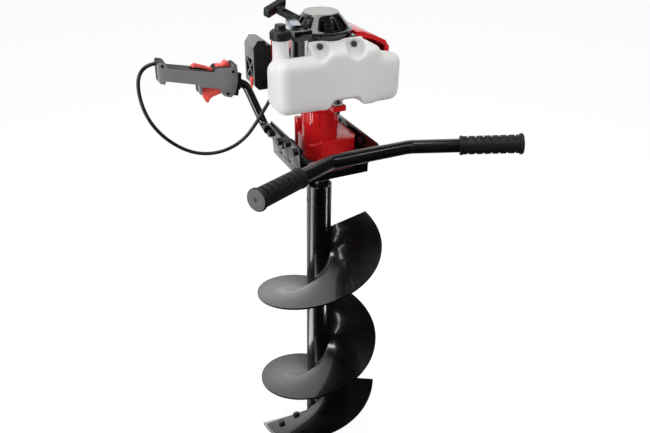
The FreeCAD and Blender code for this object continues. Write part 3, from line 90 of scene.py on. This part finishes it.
def speckle_group():
    """Fine moulded grain: a colour factor, a roughness and a height that vary over the surface."""
    group = bpy.data.node_groups.new("fine_grain", "ShaderNodeTree")
    for way, names, kind in (("INPUT", ("Scale", "Low", "High"), "NodeSocketFloat"),
                             ("INPUT", ("Dark", "Light"), "NodeSocketColor"),
                             ("OUTPUT", ("Color",), "NodeSocketColor"),
                             ("OUTPUT", ("Roughness", "Height"), "NodeSocketFloat")):
        for name in names:
            group.interface.new_socket(name, in_out=way, socket_type=kind)
    start = group.nodes.new("NodeGroupInput")
    end = group.nodes.new("NodeGroupOutput")
    where = group.nodes.new("ShaderNodeTexCoord")
    fine = group.nodes.new("ShaderNodeTexNoise")
    fine.inputs["Detail"].default_value = 4
    group.links.new(where.outputs["Object"], fine.inputs["Vector"])
    group.links.new(start.outputs["Scale"], fine.inputs["Scale"])
    cloud = group.nodes.new("ShaderNodeTexNoise")
    cloud.inputs["Scale"].default_value = 14
    cloud.inputs["Detail"].default_value = 5
    group.links.new(where.outputs["Object"], cloud.inputs["Vector"])
    tint = group.nodes.new("ShaderNodeMix")
    tint.data_type = "RGBA"
    group.links.new(cloud.outputs["Fac"], tint.inputs["Factor"])
    group.links.new(start.outputs["Dark"], tint.inputs["A"])
    group.links.new(start.outputs["Light"], tint.inputs["B"])
    rough = group.nodes.new("ShaderNodeMapRange")
    rough.inputs["From Min"].default_value = 0.3
    rough.inputs["From Max"].default_value = 0.7
    group.links.new(cloud.outputs["Fac"], rough.inputs["Value"])
    group.links.new(start.outputs["Low"], rough.inputs["To Min"])
    group.links.new(start.outputs["High"], rough.inputs["To Max"])
    group.links.new(tint.outputs["Result"], end.inputs["Color"])
    group.links.new(rough.outputs["Result"], end.inputs["Roughness"])
    group.links.new(fine.outputs["Fac"], end.inputs["Height"])
    return group


fine_grain = speckle_group()


def finish_of(name, dark, light, rough, grain, bump, metal=0.0, coat=0.0):
    """A finish built on the fine grain: two close shades, a roughness span, grain per metre and its depth."""
    material = bpy.data.materials.new(name)
    material.use_nodes = True
    tree = material.node_tree
    shader = tree.nodes["Principled BSDF"]
    shader.inputs["Metallic"].default_value = metal
    shader.inputs["Coat Weight"].default_value = coat
    shader.inputs["Coat Roughness"].default_value = 0.05
    grains = tree.nodes.new("ShaderNodeGroup")
    grains.node_tree = fine_grain
    for socket, value in (("Scale", grain), ("Low", rough[0]), ("High", rough[1]),
                          ("Dark", (*dark, 1)), ("Light", (*light, 1))):
        grains.inputs[socket].default_value = value
    relief = tree.nodes.new("ShaderNodeBump")
    relief.inputs["Strength"].default_value = bump
    relief.inputs["Distance"].default_value = 0.0004
    tree.links.new(grains.outputs["Color"], shader.inputs["Base Color"])
    tree.links.new(grains.outputs["Roughness"], shader.inputs["Roughness"])
    tree.links.new(grains.outputs["Height"], relief.inputs["Height"])
    tree.links.new(relief.outputs["Normal"], shader.inputs["Normal"])
    return material


cable_vinyl = finish_of("cable_vinyl", (0.006, 0.006, 0.007), (0.012, 0.012, 0.013), (0.25, 0.38), 500, 0.1)
curve.materials.append(cable_vinyl)
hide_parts("throttle_cable")
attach(cable, "power_head")

# Studio.  A pale floor under the drill point and a white surround, which look white to the camera and darker to
# reflections.  A lamp overhead, two tall soft boxes at the sides and a long narrow box high in front light it all.
# Two strips lying on the floor light the drill tube alone and draw its long streaks.
bpy.context.scene.view_settings.view_transform = "Standard"
WHITE = (1, 1, 1, 1)
world = bpy.data.worlds.new("studio")
bpy.context.scene.world = world
world.use_nodes = True
tree = world.node_tree
tree.nodes.clear()


def ramp(tree, low, high, at_low, at_high):
    """A map range node that runs from one value to another as its input goes from low to high."""
    node = tree.nodes.new("ShaderNodeMapRange")
    node.inputs["From Min"].default_value = low
    node.inputs["From Max"].default_value = high
    node.inputs["To Min"].default_value = at_low
    node.inputs["To Max"].default_value = at_high
    return node


def background(tree):
    """A white background shader."""
    node = tree.nodes.new("ShaderNodeBackground")
    node.inputs["Color"].default_value = WHITE
    return node


rays = tree.nodes.new("ShaderNodeLightPath")
where = tree.nodes.new("ShaderNodeTexCoord")
parts = tree.nodes.new("ShaderNodeSeparateXYZ")
rise = ramp(tree, -0.1, 0.9, 0.32, 0.62)
ambient = background(tree)
depth = ramp(tree, 0.3, 0.72, 0.015, 0.95)
mirrored = background(tree)
backdrop = background(tree)
soft = tree.nodes.new("ShaderNodeMixShader")
mix = tree.nodes.new("ShaderNodeMixShader")
out = tree.nodes.new("ShaderNodeOutputWorld")
for source, target in ((where.outputs["Generated"], parts.inputs[0]),
                       (parts.outputs["Z"], rise.inputs["Value"]),
                       (rise.outputs["Result"], ambient.inputs["Strength"]),
                       (parts.outputs["Y"], depth.inputs["Value"]),
                       (depth.outputs["Result"], mirrored.inputs["Strength"]),
                       (rays.outputs["Is Glossy Ray"], soft.inputs["Fac"]),
                       (ambient.outputs[0], soft.inputs[1]),
                       (mirrored.outputs[0], soft.inputs[2]),
                       (rays.outputs["Is Camera Ray"], mix.inputs["Fac"]),
                       (soft.outputs[0], mix.inputs[1]),
                       (backdrop.outputs[0], mix.inputs[2]),
                       (mix.outputs[0], out.inputs["Surface"])):
    tree.links.new(source, target)

FLOOR_SIDE = 14
bpy.ops.mesh.primitive_plane_add(size=FLOOR_SIDE, location=(0, 0, 0))
floor = bpy.context.active_object
floor.name = "floor"
material = bpy.data.materials.new("studio_floor")
material.use_nodes = True
tree = material.node_tree
tree.nodes.clear()
CAMERA_GLOW = 0.74
rays = tree.nodes.new("ShaderNodeLightPath")
matt = tree.nodes.new("ShaderNodeBsdfDiffuse")
matt.inputs["Color"].default_value = (0.4, 0.4, 0.4, 1)
glow = tree.nodes.new("ShaderNodeEmission")
glow.inputs["Color"].default_value = WHITE
half = tree.nodes.new("ShaderNodeMath")
half.operation = "MULTIPLY"
half.inputs[1].default_value = CAMERA_GLOW
where = tree.nodes.new("ShaderNodeTexCoord")
parts = tree.nodes.new("ShaderNodeSeparateXYZ")
away = ramp(tree, -0.2, 0.9, 0.0, 0.75)
mirrored = tree.nodes.new("ShaderNodeMath")
mirrored.operation = "MULTIPLY"
total = tree.nodes.new("ShaderNodeMath")
total.operation = "ADD"
add = tree.nodes.new("ShaderNodeAddShader")
mirror = tree.nodes.new("ShaderNodeMixShader")
out = tree.nodes.new("ShaderNodeOutputMaterial")
for source, target in ((rays.outputs["Is Camera Ray"], half.inputs[0]),
                       (where.outputs["Object"], parts.inputs[0]),
                       (parts.outputs["Y"], away.inputs["Value"]),
                       (away.outputs["Result"], mirrored.inputs[0]),
                       (rays.outputs["Is Glossy Ray"], mirrored.inputs[1]),
                       (half.outputs[0], total.inputs[0]),
                       (mirrored.outputs[0], total.inputs[1]),
                       (total.outputs[0], glow.inputs["Strength"]),
                       (matt.outputs[0], add.inputs[0]),
                       (glow.outputs[0], add.inputs[1]),
                       (rays.outputs["Is Glossy Ray"], mirror.inputs["Fac"]),
                       (add.outputs[0], mirror.inputs[1]),
                       (glow.outputs[0], mirror.inputs[2]),
                       (mirror.outputs[0], out.inputs["Surface"])):
    tree.links.new(source, target)
floor.data.materials.append(material)


def area_lamp(name, place, wide, tall, power):
    """A rectangular lamp that the camera does not see."""
    bpy.ops.object.light_add(type="AREA", location=place)
    lamp = bpy.context.active_object
    lamp.name = name
    lamp.data.shape = "RECTANGLE"
    lamp.data.size = wide
    lamp.data.size_y = tall
    lamp.data.energy = power
    lamp.visible_camera = False
    return lamp


for name, place, aim, wide, tall, power in (
        ("left_box", (-1.15, -0.22, 0.75), (0, 0, 0.6), 0.26, 1.5, 11),
        ("right_box", (0.62, -1.1, 0.75), (0, 0, 0.6), 0.16, 1.4, 6),
        ("front_box", (0.55, -1.0, 2.1), (0, 0, 0.75), 2.2, 0.12, 5),
        ("top_lamp", (-0.5, -0.1, 2.3), (0, 0, 0.6), 0.9, 0.9, 11)):
    lamp = area_lamp(name, place, wide, tall, power)
    # The right box would draw too broad a band along the bar, so only the others show in reflections.
    lamp.visible_glossy = name != "right_box"
    lamp.rotation_mode = "QUATERNION"
    lamp.rotation_quaternion = (Vector(aim) - Vector(place)).to_track_quat("-Z", "Y")

drill_only = bpy.data.collections.new("drill_only")
drill_only.objects.link(nodes["auger_tube"])
STRIP_LENGTH, STRIP_REACH, STRIP_LIFT = 1.2, 0.75, 0.004
for name, heading, wide, power in (("left_strip", (-0.995, 0.104), 0.32, 5.5),
                                   ("right_strip", (0.766, -0.643), 0.11, 4.5)):
    place = (heading[0] * STRIP_REACH, heading[1] * STRIP_REACH, STRIP_LIFT)
    strip = area_lamp(name, place, STRIP_LENGTH, wide, power)
    strip.visible_diffuse = False
    strip.light_linking.receiver_collection = drill_only
    strip.rotation_euler = (math.pi, 0, math.atan2(heading[1], heading[0]))

# Drill bit.  A steel tube with welded spiral flights, dipped in gloss black enamel.
# The enamel is smooth with a faint orange-peel, and the blades keep bare ground steel.
bit_enamel = finish_of("bit_enamel", (0.0007, 0.0007, 0.0008), (0.0018, 0.0018, 0.002), (0.2, 0.34), 160, 0.04,
                       coat=0.8)


def wear(material, *names):
    """Give CAD pieces a finish."""
    for name in names:
        piece = nodes[name]
        piece.data.materials.clear()
        piece.data.materials.append(material)


wear(bit_enamel, "auger_tube", "drive_socket", "auger_flight", "second_flight", "pilot_point")
blade_steel = finish_of("blade_steel", (0.36, 0.38, 0.41), (0.62, 0.64, 0.68), (0.25, 0.42), 700, 0.2, metal=1.0)
wear(blade_steel, "cutting_blades")
bolt_oxide = finish_of("bolt_oxide", (0.006, 0.006, 0.007), (0.016, 0.016, 0.018), (0.28, 0.45), 600, 0.15, coat=0.3)
wear(bolt_oxide, "blade_bolts", "coupling_pin", "frame_bolts", "tank_screws")

# Running gear.  Shafts, gears, rings, crank and clutch of ground steel, with crankcase, cylinder, piston, rod,
# flywheel and carburettor of cast alloy.  The muffler is heat-tinted steel and the plug is glazed.
ground_steel = finish_of("ground_steel", (0.4, 0.4, 0.41), (0.55, 0.55, 0.56), (0.2, 0.36), 900, 0.15, metal=1.0)
wear(ground_steel, "output_shaft", "output_gear", "counter_gear", "countershaft", "clutch_drum", "clutch_hub",
     "clutch_shoes", "gearbox_bearings", "crank_bearings", "crank_lower_half", "crank_upper_half", "rod_pins",
     "recoil_spring", "carb_throttle_lever")
cast_alloy = finish_of("cast_alloy", (0.42, 0.43, 0.44), (0.6, 0.61, 0.62), (0.38, 0.55), 420, 0.5, metal=0.9)
wear(cast_alloy, "gearbox_base", "crankcase", "cylinder", "piston", "connecting_rod", "flywheel", "carburettor")
muffler_steel = finish_of("muffler_steel", (0.2, 0.19, 0.18), (0.4, 0.38, 0.36), (0.35, 0.5), 380, 0.4, metal=1.0)
wear(muffler_steel, "muffler")
plug_ceramic = finish_of("plug_ceramic", (0.8, 0.79, 0.75), (0.88, 0.87, 0.83), (0.12, 0.2), 200, 0.05, coat=0.6)
wear(plug_ceramic, "spark_plug")

# Red castings and shroud.  Die-cast gearbox and clutch housings and a pressed shroud in gloss red enamel,
# with the rounded edges that a casting has.
red_gloss = finish_of("red_gloss", (0.52, 0.008, 0.01), (0.64, 0.012, 0.015), (0.14, 0.26), 120, 0.05, coat=0.5)
body_of = {piece: body for body, pieces in frame["record"]["behaviour"]["bodies"].items() for piece in pieces}


def only(piece):
    """Make one piece the selected and active one."""
    bpy.ops.object.select_all(action="DESELECT")
    piece.select_set(True)
    bpy.context.view_layer.objects.active = piece


def settle(piece, material, node):
    """Finish a piece that stands for a CAD node: its material, slot and body."""
    piece.data.materials.clear()
    piece.data.materials.append(material)
    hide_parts(node)
    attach(piece, body_of[node])


MERGE_GAP = 0.000002
FLAT_WITHIN = math.radians(0.4)


def copy_of(node, name):
    """A merged copy of a CAD node's mesh, with its flat faces whole again."""
    piece = bpy.data.objects.new(name, nodes[node].data.copy())
    bpy.context.collection.objects.link(piece)
    only(piece)
    bpy.ops.object.mode_set(mode="EDIT")
    bpy.ops.mesh.select_all(action="SELECT")
    bpy.ops.mesh.remove_doubles(threshold=MERGE_GAP)
    bpy.ops.mesh.dissolve_limited(angle_limit=FLAT_WITHIN)
    bpy.ops.object.mode_set(mode="OBJECT")
    return piece


SHARP_EDGE = math.radians(32)
SMOOTH_EDGE = math.radians(38)


def round_edges(piece, width, steps=3):
    """Round the sharp edges of a piece and shade it smooth."""
    only(piece)
    edge = piece.modifiers.new("rounding", "BEVEL")
    edge.width = width
    edge.segments = steps
    edge.limit_method = "ANGLE"
    edge.angle_limit = SHARP_EDGE
    bpy.ops.object.modifier_apply(modifier="rounding")
    bpy.ops.object.shade_smooth_by_angle(angle=SMOOTH_EDGE)


for node, name, width in (("gearbox_housing", "gearbox_casting", 0.0026), ("clutch_housing", "neck_casting", 0.0012),
                          ("engine_shroud", "shroud_pressing", 0.001)):
    casting = copy_of(node, name)
    round_edges(casting, width)
    settle(casting, red_gloss, node)

# Fuel tank.  Blow-moulded natural polythene, milky and slightly see-through, with the soft edges and
# shallow scoops of such a moulding.
milky = finish_of("milky_polythene", (0.63, 0.622, 0.612), (0.7, 0.692, 0.682), (0.36, 0.48), 260, 0.1)
milky_shader = milky.node_tree.nodes["Principled BSDF"]
milky_shader.inputs["Subsurface Weight"].default_value = 0.3
milky_shader.inputs["Subsurface Radius"].default_value = (0.012, 0.012, 0.011)
milky_shader.inputs["Subsurface Scale"].default_value = 1.0
EVEN_CELL = 0.0017
tank = copy_of("fuel_tank", "tank_moulding")
even = tank.modifiers.new("even", "REMESH")
even.mode = "VOXEL"
even.voxel_size = EVEN_CELL
bpy.ops.object.modifier_apply(modifier="even")
soften = tank.modifiers.new("soften", "SMOOTH")
soften.factor = 0.5
soften.iterations = 40
bpy.ops.object.modifier_apply(modifier="soften")
bpy.ops.object.shade_smooth()
settle(tank, milky, "fuel_tank")

# Starter.  A gloss black fan housing and louvred cover with a pale brushed disc, and a T handle on a rope.
# The handle, the rope's guide rails and the filter's base are matt black mouldings with rounded edges.
gloss_black = finish_of("gloss_black", (0.0015, 0.0015, 0.0017), (0.0035, 0.0035, 0.0038), (0.16, 0.28), 110, 0.1,
                        coat=0.8)
wear(gloss_black, "fan_housing")
cover = copy_of("recoil_housing", "louvred_cover")
round_edges(cover, 0.0009, 2)
settle(cover, gloss_black, "recoil_housing")
brushed_disc = finish_of("brushed_disc", (0.36, 0.355, 0.34), (0.48, 0.475, 0.46), (0.32, 0.44), 1400, 0.2, metal=0.3)
wear(brushed_disc, "recoil_top_disc")
matt_black = finish_of("matt_black", (0.004, 0.004, 0.0045), (0.009, 0.009, 0.01), (0.36, 0.5), 900, 0.4)
wear(matt_black, "starter_pulley", "ignition_coil", "starter_rope")
for node, name, width in (("starter_handle", "pull_grip", 0.0008), ("rope_guide", "rope_guide_rails", 0.0007),
                          ("air_filter_case", "filter_base", 0.0012)):
    moulding = copy_of(node, name)
    round_edges(moulding, width)
    settle(moulding, matt_black, node)

# Fuel cap.  A black moulded screw cap: a knurled collar with a small knob on its crown.
# The knurl is a ring of raised strips, joined to the cap so that it turns with it.
cap = copy_of("fuel_cap", "ribbed_cap")
round_edges(cap, 0.0008, 2)
cap_low, cap_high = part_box("fuel_cap")
cap_middle = Vector(((cap_low[0] + cap_high[0]) / 2, (cap_low[1] + cap_high[1]) / 2, 0))


def tube_blank(name, radius, low, high, sides):
    """An upright round bar on the origin."""
    bpy.ops.mesh.primitive_cylinder_add(vertices=sides, radius=radius, depth=high - low,
                                        location=(0, 0, (low + high) / 2))
    piece = bpy.context.active_object
    piece.name = name
    bpy.ops.object.transform_apply(location=True, rotation=True, scale=True)
    return piece


def pick_faces(piece, test):
    """Select the faces whose middle and normal pass a test, in edit mode."""
    only(piece)
    bpy.ops.object.mode_set(mode="EDIT")
    bpy.ops.mesh.select_mode(type="FACE")
    bpy.ops.mesh.select_all(action="DESELECT")
    shape = bmesh.from_edit_mesh(piece.data)
    for face in shape.faces:
        face.select = test(face.calc_center_median(), face.normal)
    bmesh.update_edit_mesh(piece.data)


def raise_faces(piece, test, height):
    """Push the faces that pass a test out of a piece, or into it where the height is below nought."""
    pick_faces(piece, test)
    bpy.ops.mesh.extrude_region_shrink_fatten(TRANSFORM_OT_shrink_fatten={"value": height})
    bpy.ops.object.mode_set(mode="OBJECT")


def join_into(piece, *others):
    """Make several pieces one, under the first one's name."""
    only(piece)
    for other in others:
        other.select_set(True)
    bpy.ops.object.join()


KNURL_R, KNURL_HIGH, KNURL_SIDES, KNURL_FOOT, KNURL_HEAD = 0.0154, 0.0011, 72, 0.0006, 0.0108


def every_third_side(middle, normal):
    """Pick each third side face of the knurled collar."""
    side = round(math.degrees(math.atan2(middle.y, middle.x)) / (360 / KNURL_SIDES) - 0.5)
    return abs(normal.z) < 0.5 and side % 3 == 0


knurl = tube_blank("cap_knurl", KNURL_R, cap_low[2] + KNURL_FOOT, cap_low[2] + KNURL_HEAD, KNURL_SIDES)
raise_faces(knurl, every_third_side, KNURL_HIGH)
round_edges(knurl, 0.0003, 2)
knurl.data.transform(Matrix.Translation(cap_middle))
join_into(cap, knurl)
settle(cap, matt_black, "fuel_cap")

# Air filter.  A grey moulded lid with a recess under a moulded cross, clipped on a ribbed black base.
# The base's rim reaches towards the carburettor on top and in front.
filter_grey = finish_of("filter_grey", (0.15, 0.153, 0.16), (0.205, 0.21, 0.22), (0.3, 0.44), 800, 0.3)
lid = copy_of("air_filter_cover", "filter_lid")
round_edges(lid, 0.0016)
lid_low, lid_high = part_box("air_filter_cover")
face_x = lid_low[0]
middle_y = (lid_low[1] + lid_high[1]) / 2
well_z = TOP + 0.2235
WELL_HALF, WELL_DEEP, WELL_FLOOR, CLEAR = 0.0165, 0.005, 0.003, 0.002
CROSS_HALF_LONG, CROSS_HALF_WIDE, CROSS_START, CROSS_END = 0.0225, 0.0018, 0.0002, 0.0046


def beam_blank(name, low, high):
    """A block between two corners."""
    centre = [(a + b) / 2 for a, b in zip(low, high)]
    bpy.ops.mesh.primitive_cube_add(size=1, location=centre)
    piece = bpy.context.active_object
    piece.name = name
    piece.scale = [b - a for a, b in zip(low, high)]
    bpy.ops.object.transform_apply(location=True, rotation=True, scale=True)
    return piece


def cut(piece, tool):
    """Take a closed shape out of a piece and delete the shape."""
    only(piece)
    hollow = piece.modifiers.new("hollow", "BOOLEAN")
    hollow.operation = "DIFFERENCE"
    hollow.solver = "EXACT"
    hollow.object = tool
    bpy.ops.object.modifier_apply(modifier="hollow")
    bpy.data.objects.remove(tool, do_unlink=True)


cut(lid, beam_blank("well_tool", (face_x - CLEAR, middle_y - WELL_HALF, well_z - WELL_HALF),
                    (face_x + WELL_DEEP, middle_y + WELL_HALF, well_z + WELL_HALF)))
bars = []
for angle in (45, -45):
    bar = beam_blank("lid_bar", (face_x + CROSS_START, -CROSS_HALF_LONG, -CROSS_HALF_WIDE),
                     (face_x + CROSS_END, CROSS_HALF_LONG, CROSS_HALF_WIDE))
    round_edges(bar, 0.0006, 2)
    bar.data.transform(Matrix.Translation((0, middle_y, well_z)) @ Matrix.Rotation(math.radians(angle), 4, "X"))
    bars.append(bar)
join_into(lid, *bars)
settle(lid, filter_grey, "air_filter_cover")
lid.data.materials.append(matt_black)
for face in lid.data.polygons:
    from_middle = max(abs(face.center.y - middle_y), abs(face.center.z - well_z))
    in_well = face_x + WELL_FLOOR < face.center.x and from_middle < WELL_HALF + 0.0001
    face.material_index = 1 if face.normal.y < -0.6 or in_well else 0


def add_detail(piece, material):
    """Finish a piece that the CAD doesn't have: its material and the engine's body."""
    piece.data.materials.append(material)
    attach(piece, "power_head")


RIM_INSET, RIM_THICK, RIM_DEEP, RIM_ROOT = 0.0015, 0.003, 0.0085, 0.001
case_low, case_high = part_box("air_filter_case")
rim_start, rim_end = case_high[0] - RIM_ROOT, case_high[0] + RIM_DEEP
front_y, back_y = case_low[1] + RIM_INSET, case_high[1] - RIM_INSET
foot_z, head_z = case_low[2] + RIM_INSET, case_high[2] - RIM_INSET
for number, (low, high) in enumerate((
        ((rim_start, front_y, foot_z), (rim_end, front_y + RIM_THICK, head_z)),
        ((rim_start, front_y, head_z - RIM_THICK), (rim_end, back_y, head_z)))):
    wall = beam_blank("case_wall_%d" % number, low, high)
    round_edges(wall, 0.0008, 2)
    add_detail(wall, matt_black)
RIB_START, RIB_PITCH, RIB_WIDE, RIB_PROUD, RIB_ROOT = 0.0115, 0.0052, 0.002, 0.0009, 0.001
RIB_FOOT, RIB_HEAD = TOP + 0.1945, TOP + 0.2605
for number in range(3):
    start = face_x + RIB_START + RIB_PITCH * number
    rib = beam_blank("base_rib_%d" % number, (start, lid_low[1] - RIB_PROUD, RIB_FOOT),
                     (start + RIB_WIDE, lid_low[1] + RIB_ROOT, RIB_HEAD))
    round_edges(rib, 0.0005, 2)
    add_detail(rib, matt_black)

# Rope guide bracket.  A small plated strap just above the starter's lug, pressed from thin steel.
# Its turned-down edge meets the lug near its front end.
plated_steel = finish_of("plated_steel", (0.4, 0.45, 0.52), (0.58, 0.63, 0.7), (0.18, 0.32), 500, 0.1, metal=1.0)
STRAP_HALF_WIDE, STRAP_HALF_LONG, STRAP_THICK, STRAP_DROP = 0.0085, 0.0250, 0.0016, 0.009
strap_place = Matrix.Translation((-0.0500, -0.0030, TOP + 0.3020)) @ Matrix.Rotation(math.radians(-12), 4, "Z")
strap = beam_blank("rope_guide_strap", (-STRAP_HALF_WIDE, -STRAP_HALF_LONG, 0.0),
                   (STRAP_HALF_WIDE, STRAP_HALF_LONG, STRAP_THICK))
edge = beam_blank("strap_edge", (-STRAP_HALF_WIDE, -STRAP_HALF_LONG, -STRAP_DROP),
                  (STRAP_THICK - STRAP_HALF_WIDE, STRAP_HALF_LONG, STRAP_THICK))
for piece in (strap, edge):
    round_edges(piece, 0.0005, 2)
join_into(strap, edge)
strap.data.transform(strap_place)
add_detail(strap, plated_steel)

# Tray and bars.  Folded steel plate and bent tube in gloss black powder coat.
# The coat is smooth and thin, and the plate's cut edges are slightly rounded.
powder_coat = finish_of("powder_coat", (0.002, 0.002, 0.0023), (0.0045, 0.0045, 0.005), (0.2, 0.32), 700, 0.04,
                        coat=0.8)
wear(powder_coat, "handlebar", "throttle_arm")
tray = copy_of("frame_tray", "folded_tray")
round_edges(tray, 0.0008, 2)
settle(tray, powder_coat, "frame_tray")

# Handlebar grips.  Moulded rubber sleeves: seven grooves above and below with plain bands at the sides,
# an inner collar and a broad end flange with a grey disc and its air hole.
grip_rubber = finish_of("grip_rubber", (0.003, 0.003, 0.0035), (0.007, 0.007, 0.008), (0.42, 0.55), 1200, 0.5)
end_rubber = finish_of("end_rubber", (0.05, 0.052, 0.056), (0.075, 0.077, 0.082), (0.45, 0.6), 900, 0.4)


def slice_across(piece, heights):
    """Score a piece with rings of edges at some heights."""
    only(piece)
    for height in heights:
        bpy.ops.object.mode_set(mode="EDIT")
        bpy.ops.mesh.select_all(action="SELECT")
        bpy.ops.mesh.bisect(plane_co=(0, 0, height), plane_no=(0, 0, 1))
        bpy.ops.object.mode_set(mode="OBJECT")


def sink_faces(piece, test, margin, shift):
    """Inset the faces that pass a test and move their middle along Z."""
    pick_faces(piece, test)
    bpy.ops.mesh.inset(thickness=margin)
    bpy.ops.mesh.extrude_region_move(TRANSFORM_OT_translate={"value": (0, 0, shift)})
    bpy.ops.object.mode_set(mode="OBJECT")


GRIP_SIDES = 48
GRIP_R, GRIP_START, GRIP_END = 0.0146, 0.0045, 0.097
FLANGE_R, FLANGE_START, FLANGE_END = 0.0166, 0.0008, 0.0055
DISC_R, DISC_THICK, HOLE_R, HOLE_DEEP = 0.0153, 0.0012, 0.0026, 0.0009
BAR_OVERHANG = 0.003
GROOVE_START, GROOVE_PITCH, GROOVE_WIDE, GROOVE_DEEP = 0.0105, 0.0121, 0.003, 0.0022
COLLAR_START, COLLAR_HIGH = 0.0935, 0.0009
BAR_END = (0.218, -0.272, TOP + 0.152)
BAR_BEND = (0.069, -0.185, TOP + 0.138)
grooves = [GROOVE_START + GROOVE_PITCH * i for i in range(7)]
for side, sign in (("left", -1), ("right", 1)):
    sleeve = tube_blank("grip_" + side, GRIP_R, GRIP_START, GRIP_END, GRIP_SIDES)
    slice_across(sleeve, [edge for start in grooves for edge in (start, start + GROOVE_WIDE)] + [COLLAR_START])
    raise_faces(sleeve, lambda middle, normal: abs(normal.z) < 0.5 and abs(normal.x) > 0.62
                and any(start < middle.z < start + GROOVE_WIDE for start in grooves), -GROOVE_DEEP)
    raise_faces(sleeve, lambda middle, normal: abs(normal.z) < 0.5 and middle.z > COLLAR_START, COLLAR_HIGH)
    flange = tube_blank("flange_" + side, FLANGE_R, FLANGE_START, FLANGE_END, GRIP_SIDES)
    disc = tube_blank("disc_" + side, DISC_R, 0.0, DISC_THICK, GRIP_SIDES)
    sink_faces(disc, lambda middle, normal: normal.z < -0.9, DISC_R - HOLE_R, HOLE_DEEP)
    for piece, width in ((sleeve, 0.0006), (flange, 0.0014), (disc, 0.0004)):
        round_edges(piece, width)
        piece.data.materials.append(end_rubber if piece is disc else grip_rubber)
    disc.data.materials.append(grip_rubber)
    for face in disc.data.polygons:
        in_hole = face.center.xy.length < HOLE_R + 0.0001 and face.center.z < DISC_THICK - 0.0001
        face.material_index = 1 if in_hole else 0
    join_into(sleeve, flange, disc)
    end = Vector((sign * BAR_END[0], *BAR_END[1:]))
    inward = (Vector((sign * BAR_BEND[0], *BAR_BEND[1:])) - end).normalized()
    across = Vector((0, 0, 1)).cross(inward).normalized()
    turn = Matrix((inward.cross(across), -across, inward)).transposed()
    sleeve.data.transform(Matrix.Translation(end - inward * BAR_OVERHANG) @ turn.to_4x4())
    if side == "left":
        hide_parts("handlebar_grips")
    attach(sleeve, "power_head")

# Throttle handle.  Two nylon shells screwed together, the front one dark grey with painted shade in black on its top
# and underside, the rear one black, on a black clamp.  Trigger, stop switch, lock lever and choke lever are coral
# red.
nylon_grey = finish_of("nylon_grey", (0.165, 0.167, 0.172), (0.225, 0.228, 0.235), (0.32, 0.46), 1000, 0.3)
nylon_black = finish_of("nylon_black", (0.008, 0.008, 0.009), (0.016, 0.016, 0.017), (0.32, 0.46), 1000, 0.3)
nylon_black.node_tree.nodes["Principled BSDF"].inputs["Specular IOR Level"].default_value = 0.12
for node, name, finish in (("handle_front_shell", "shell_front", nylon_grey),
                           ("handle_rear_shell", "shell_rear", nylon_black),
                           ("handle_clamp", "clamp_collar", nylon_black)):
    moulding = copy_of(node, name)
    round_edges(moulding, 0.0022 if "shell" in name else 0.001)
    settle(moulding, finish, node)
    if node == "handle_front_shell":
        # Painted shade: the front shell's faces that point up or down get the black nylon, so its top and underside
        # read dark as if shaded.
        moulding.data.materials.append(nylon_black)
        for face in moulding.data.polygons:
            face.material_index = 1 if face.normal.z > 0.6 or face.normal.z < -0.75 else 0
SCREW_R, SCREW_SIDES, SCREW_ROOT, SCREW_PROUD, SHELL_FACE_Y = 0.0026, 24, 0.0012, 0.0008, 0.103
SOCKET_R, SOCKET_DEEP = 0.0015, 0.0008
for number, (x, z) in enumerate(((-0.1215, 0.1985), (-0.1335, 0.1595), (-0.2445, 0.2235))):
    screw = tube_blank("handle_screw_%d" % number, SCREW_R, -SCREW_ROOT, SCREW_PROUD, SCREW_SIDES)
    sink_faces(screw, lambda middle, normal: normal.z > 0.9, SCREW_R - SOCKET_R, -SOCKET_DEEP)
    round_edges(screw, 0.0002, 2)
    spot = Matrix.Translation((x, SHELL_FACE_Y, TOP + z))
    screw.data.transform(spot @ Matrix.Rotation(math.radians(90), 4, "X"))
    add_detail(screw, bolt_oxide)
WINDOW_FRONT, WINDOW_BACK, WINDOW_SIDE, WINDOW_FLOOR = 0.0035, 0.0095, 0.0021, 0.003
coral_red = finish_of("coral_red", (0.9, 0.085, 0.068), (0.96, 0.12, 0.1), (0.25, 0.36), 500, 0.15)
for node in ("trigger", "lock_lever", "stop_switch", "choke_lever"):
    moulding = copy_of(node, node + "_moulding")
    if node == "lock_lever":
        lever_low, lever_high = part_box(node)
        window_low = [edge + margin for edge, margin in zip(lever_low, (WINDOW_FRONT, WINDOW_SIDE, WINDOW_FLOOR))]
        window_high = [edge + margin for edge, margin in zip(lever_high, (-WINDOW_BACK, -WINDOW_SIDE, CLEAR))]
        cut(moulding, beam_blank("lever_window", window_low, window_high))
    round_edges(moulding, 0.0007, 2)
    settle(moulding, coral_red, node)
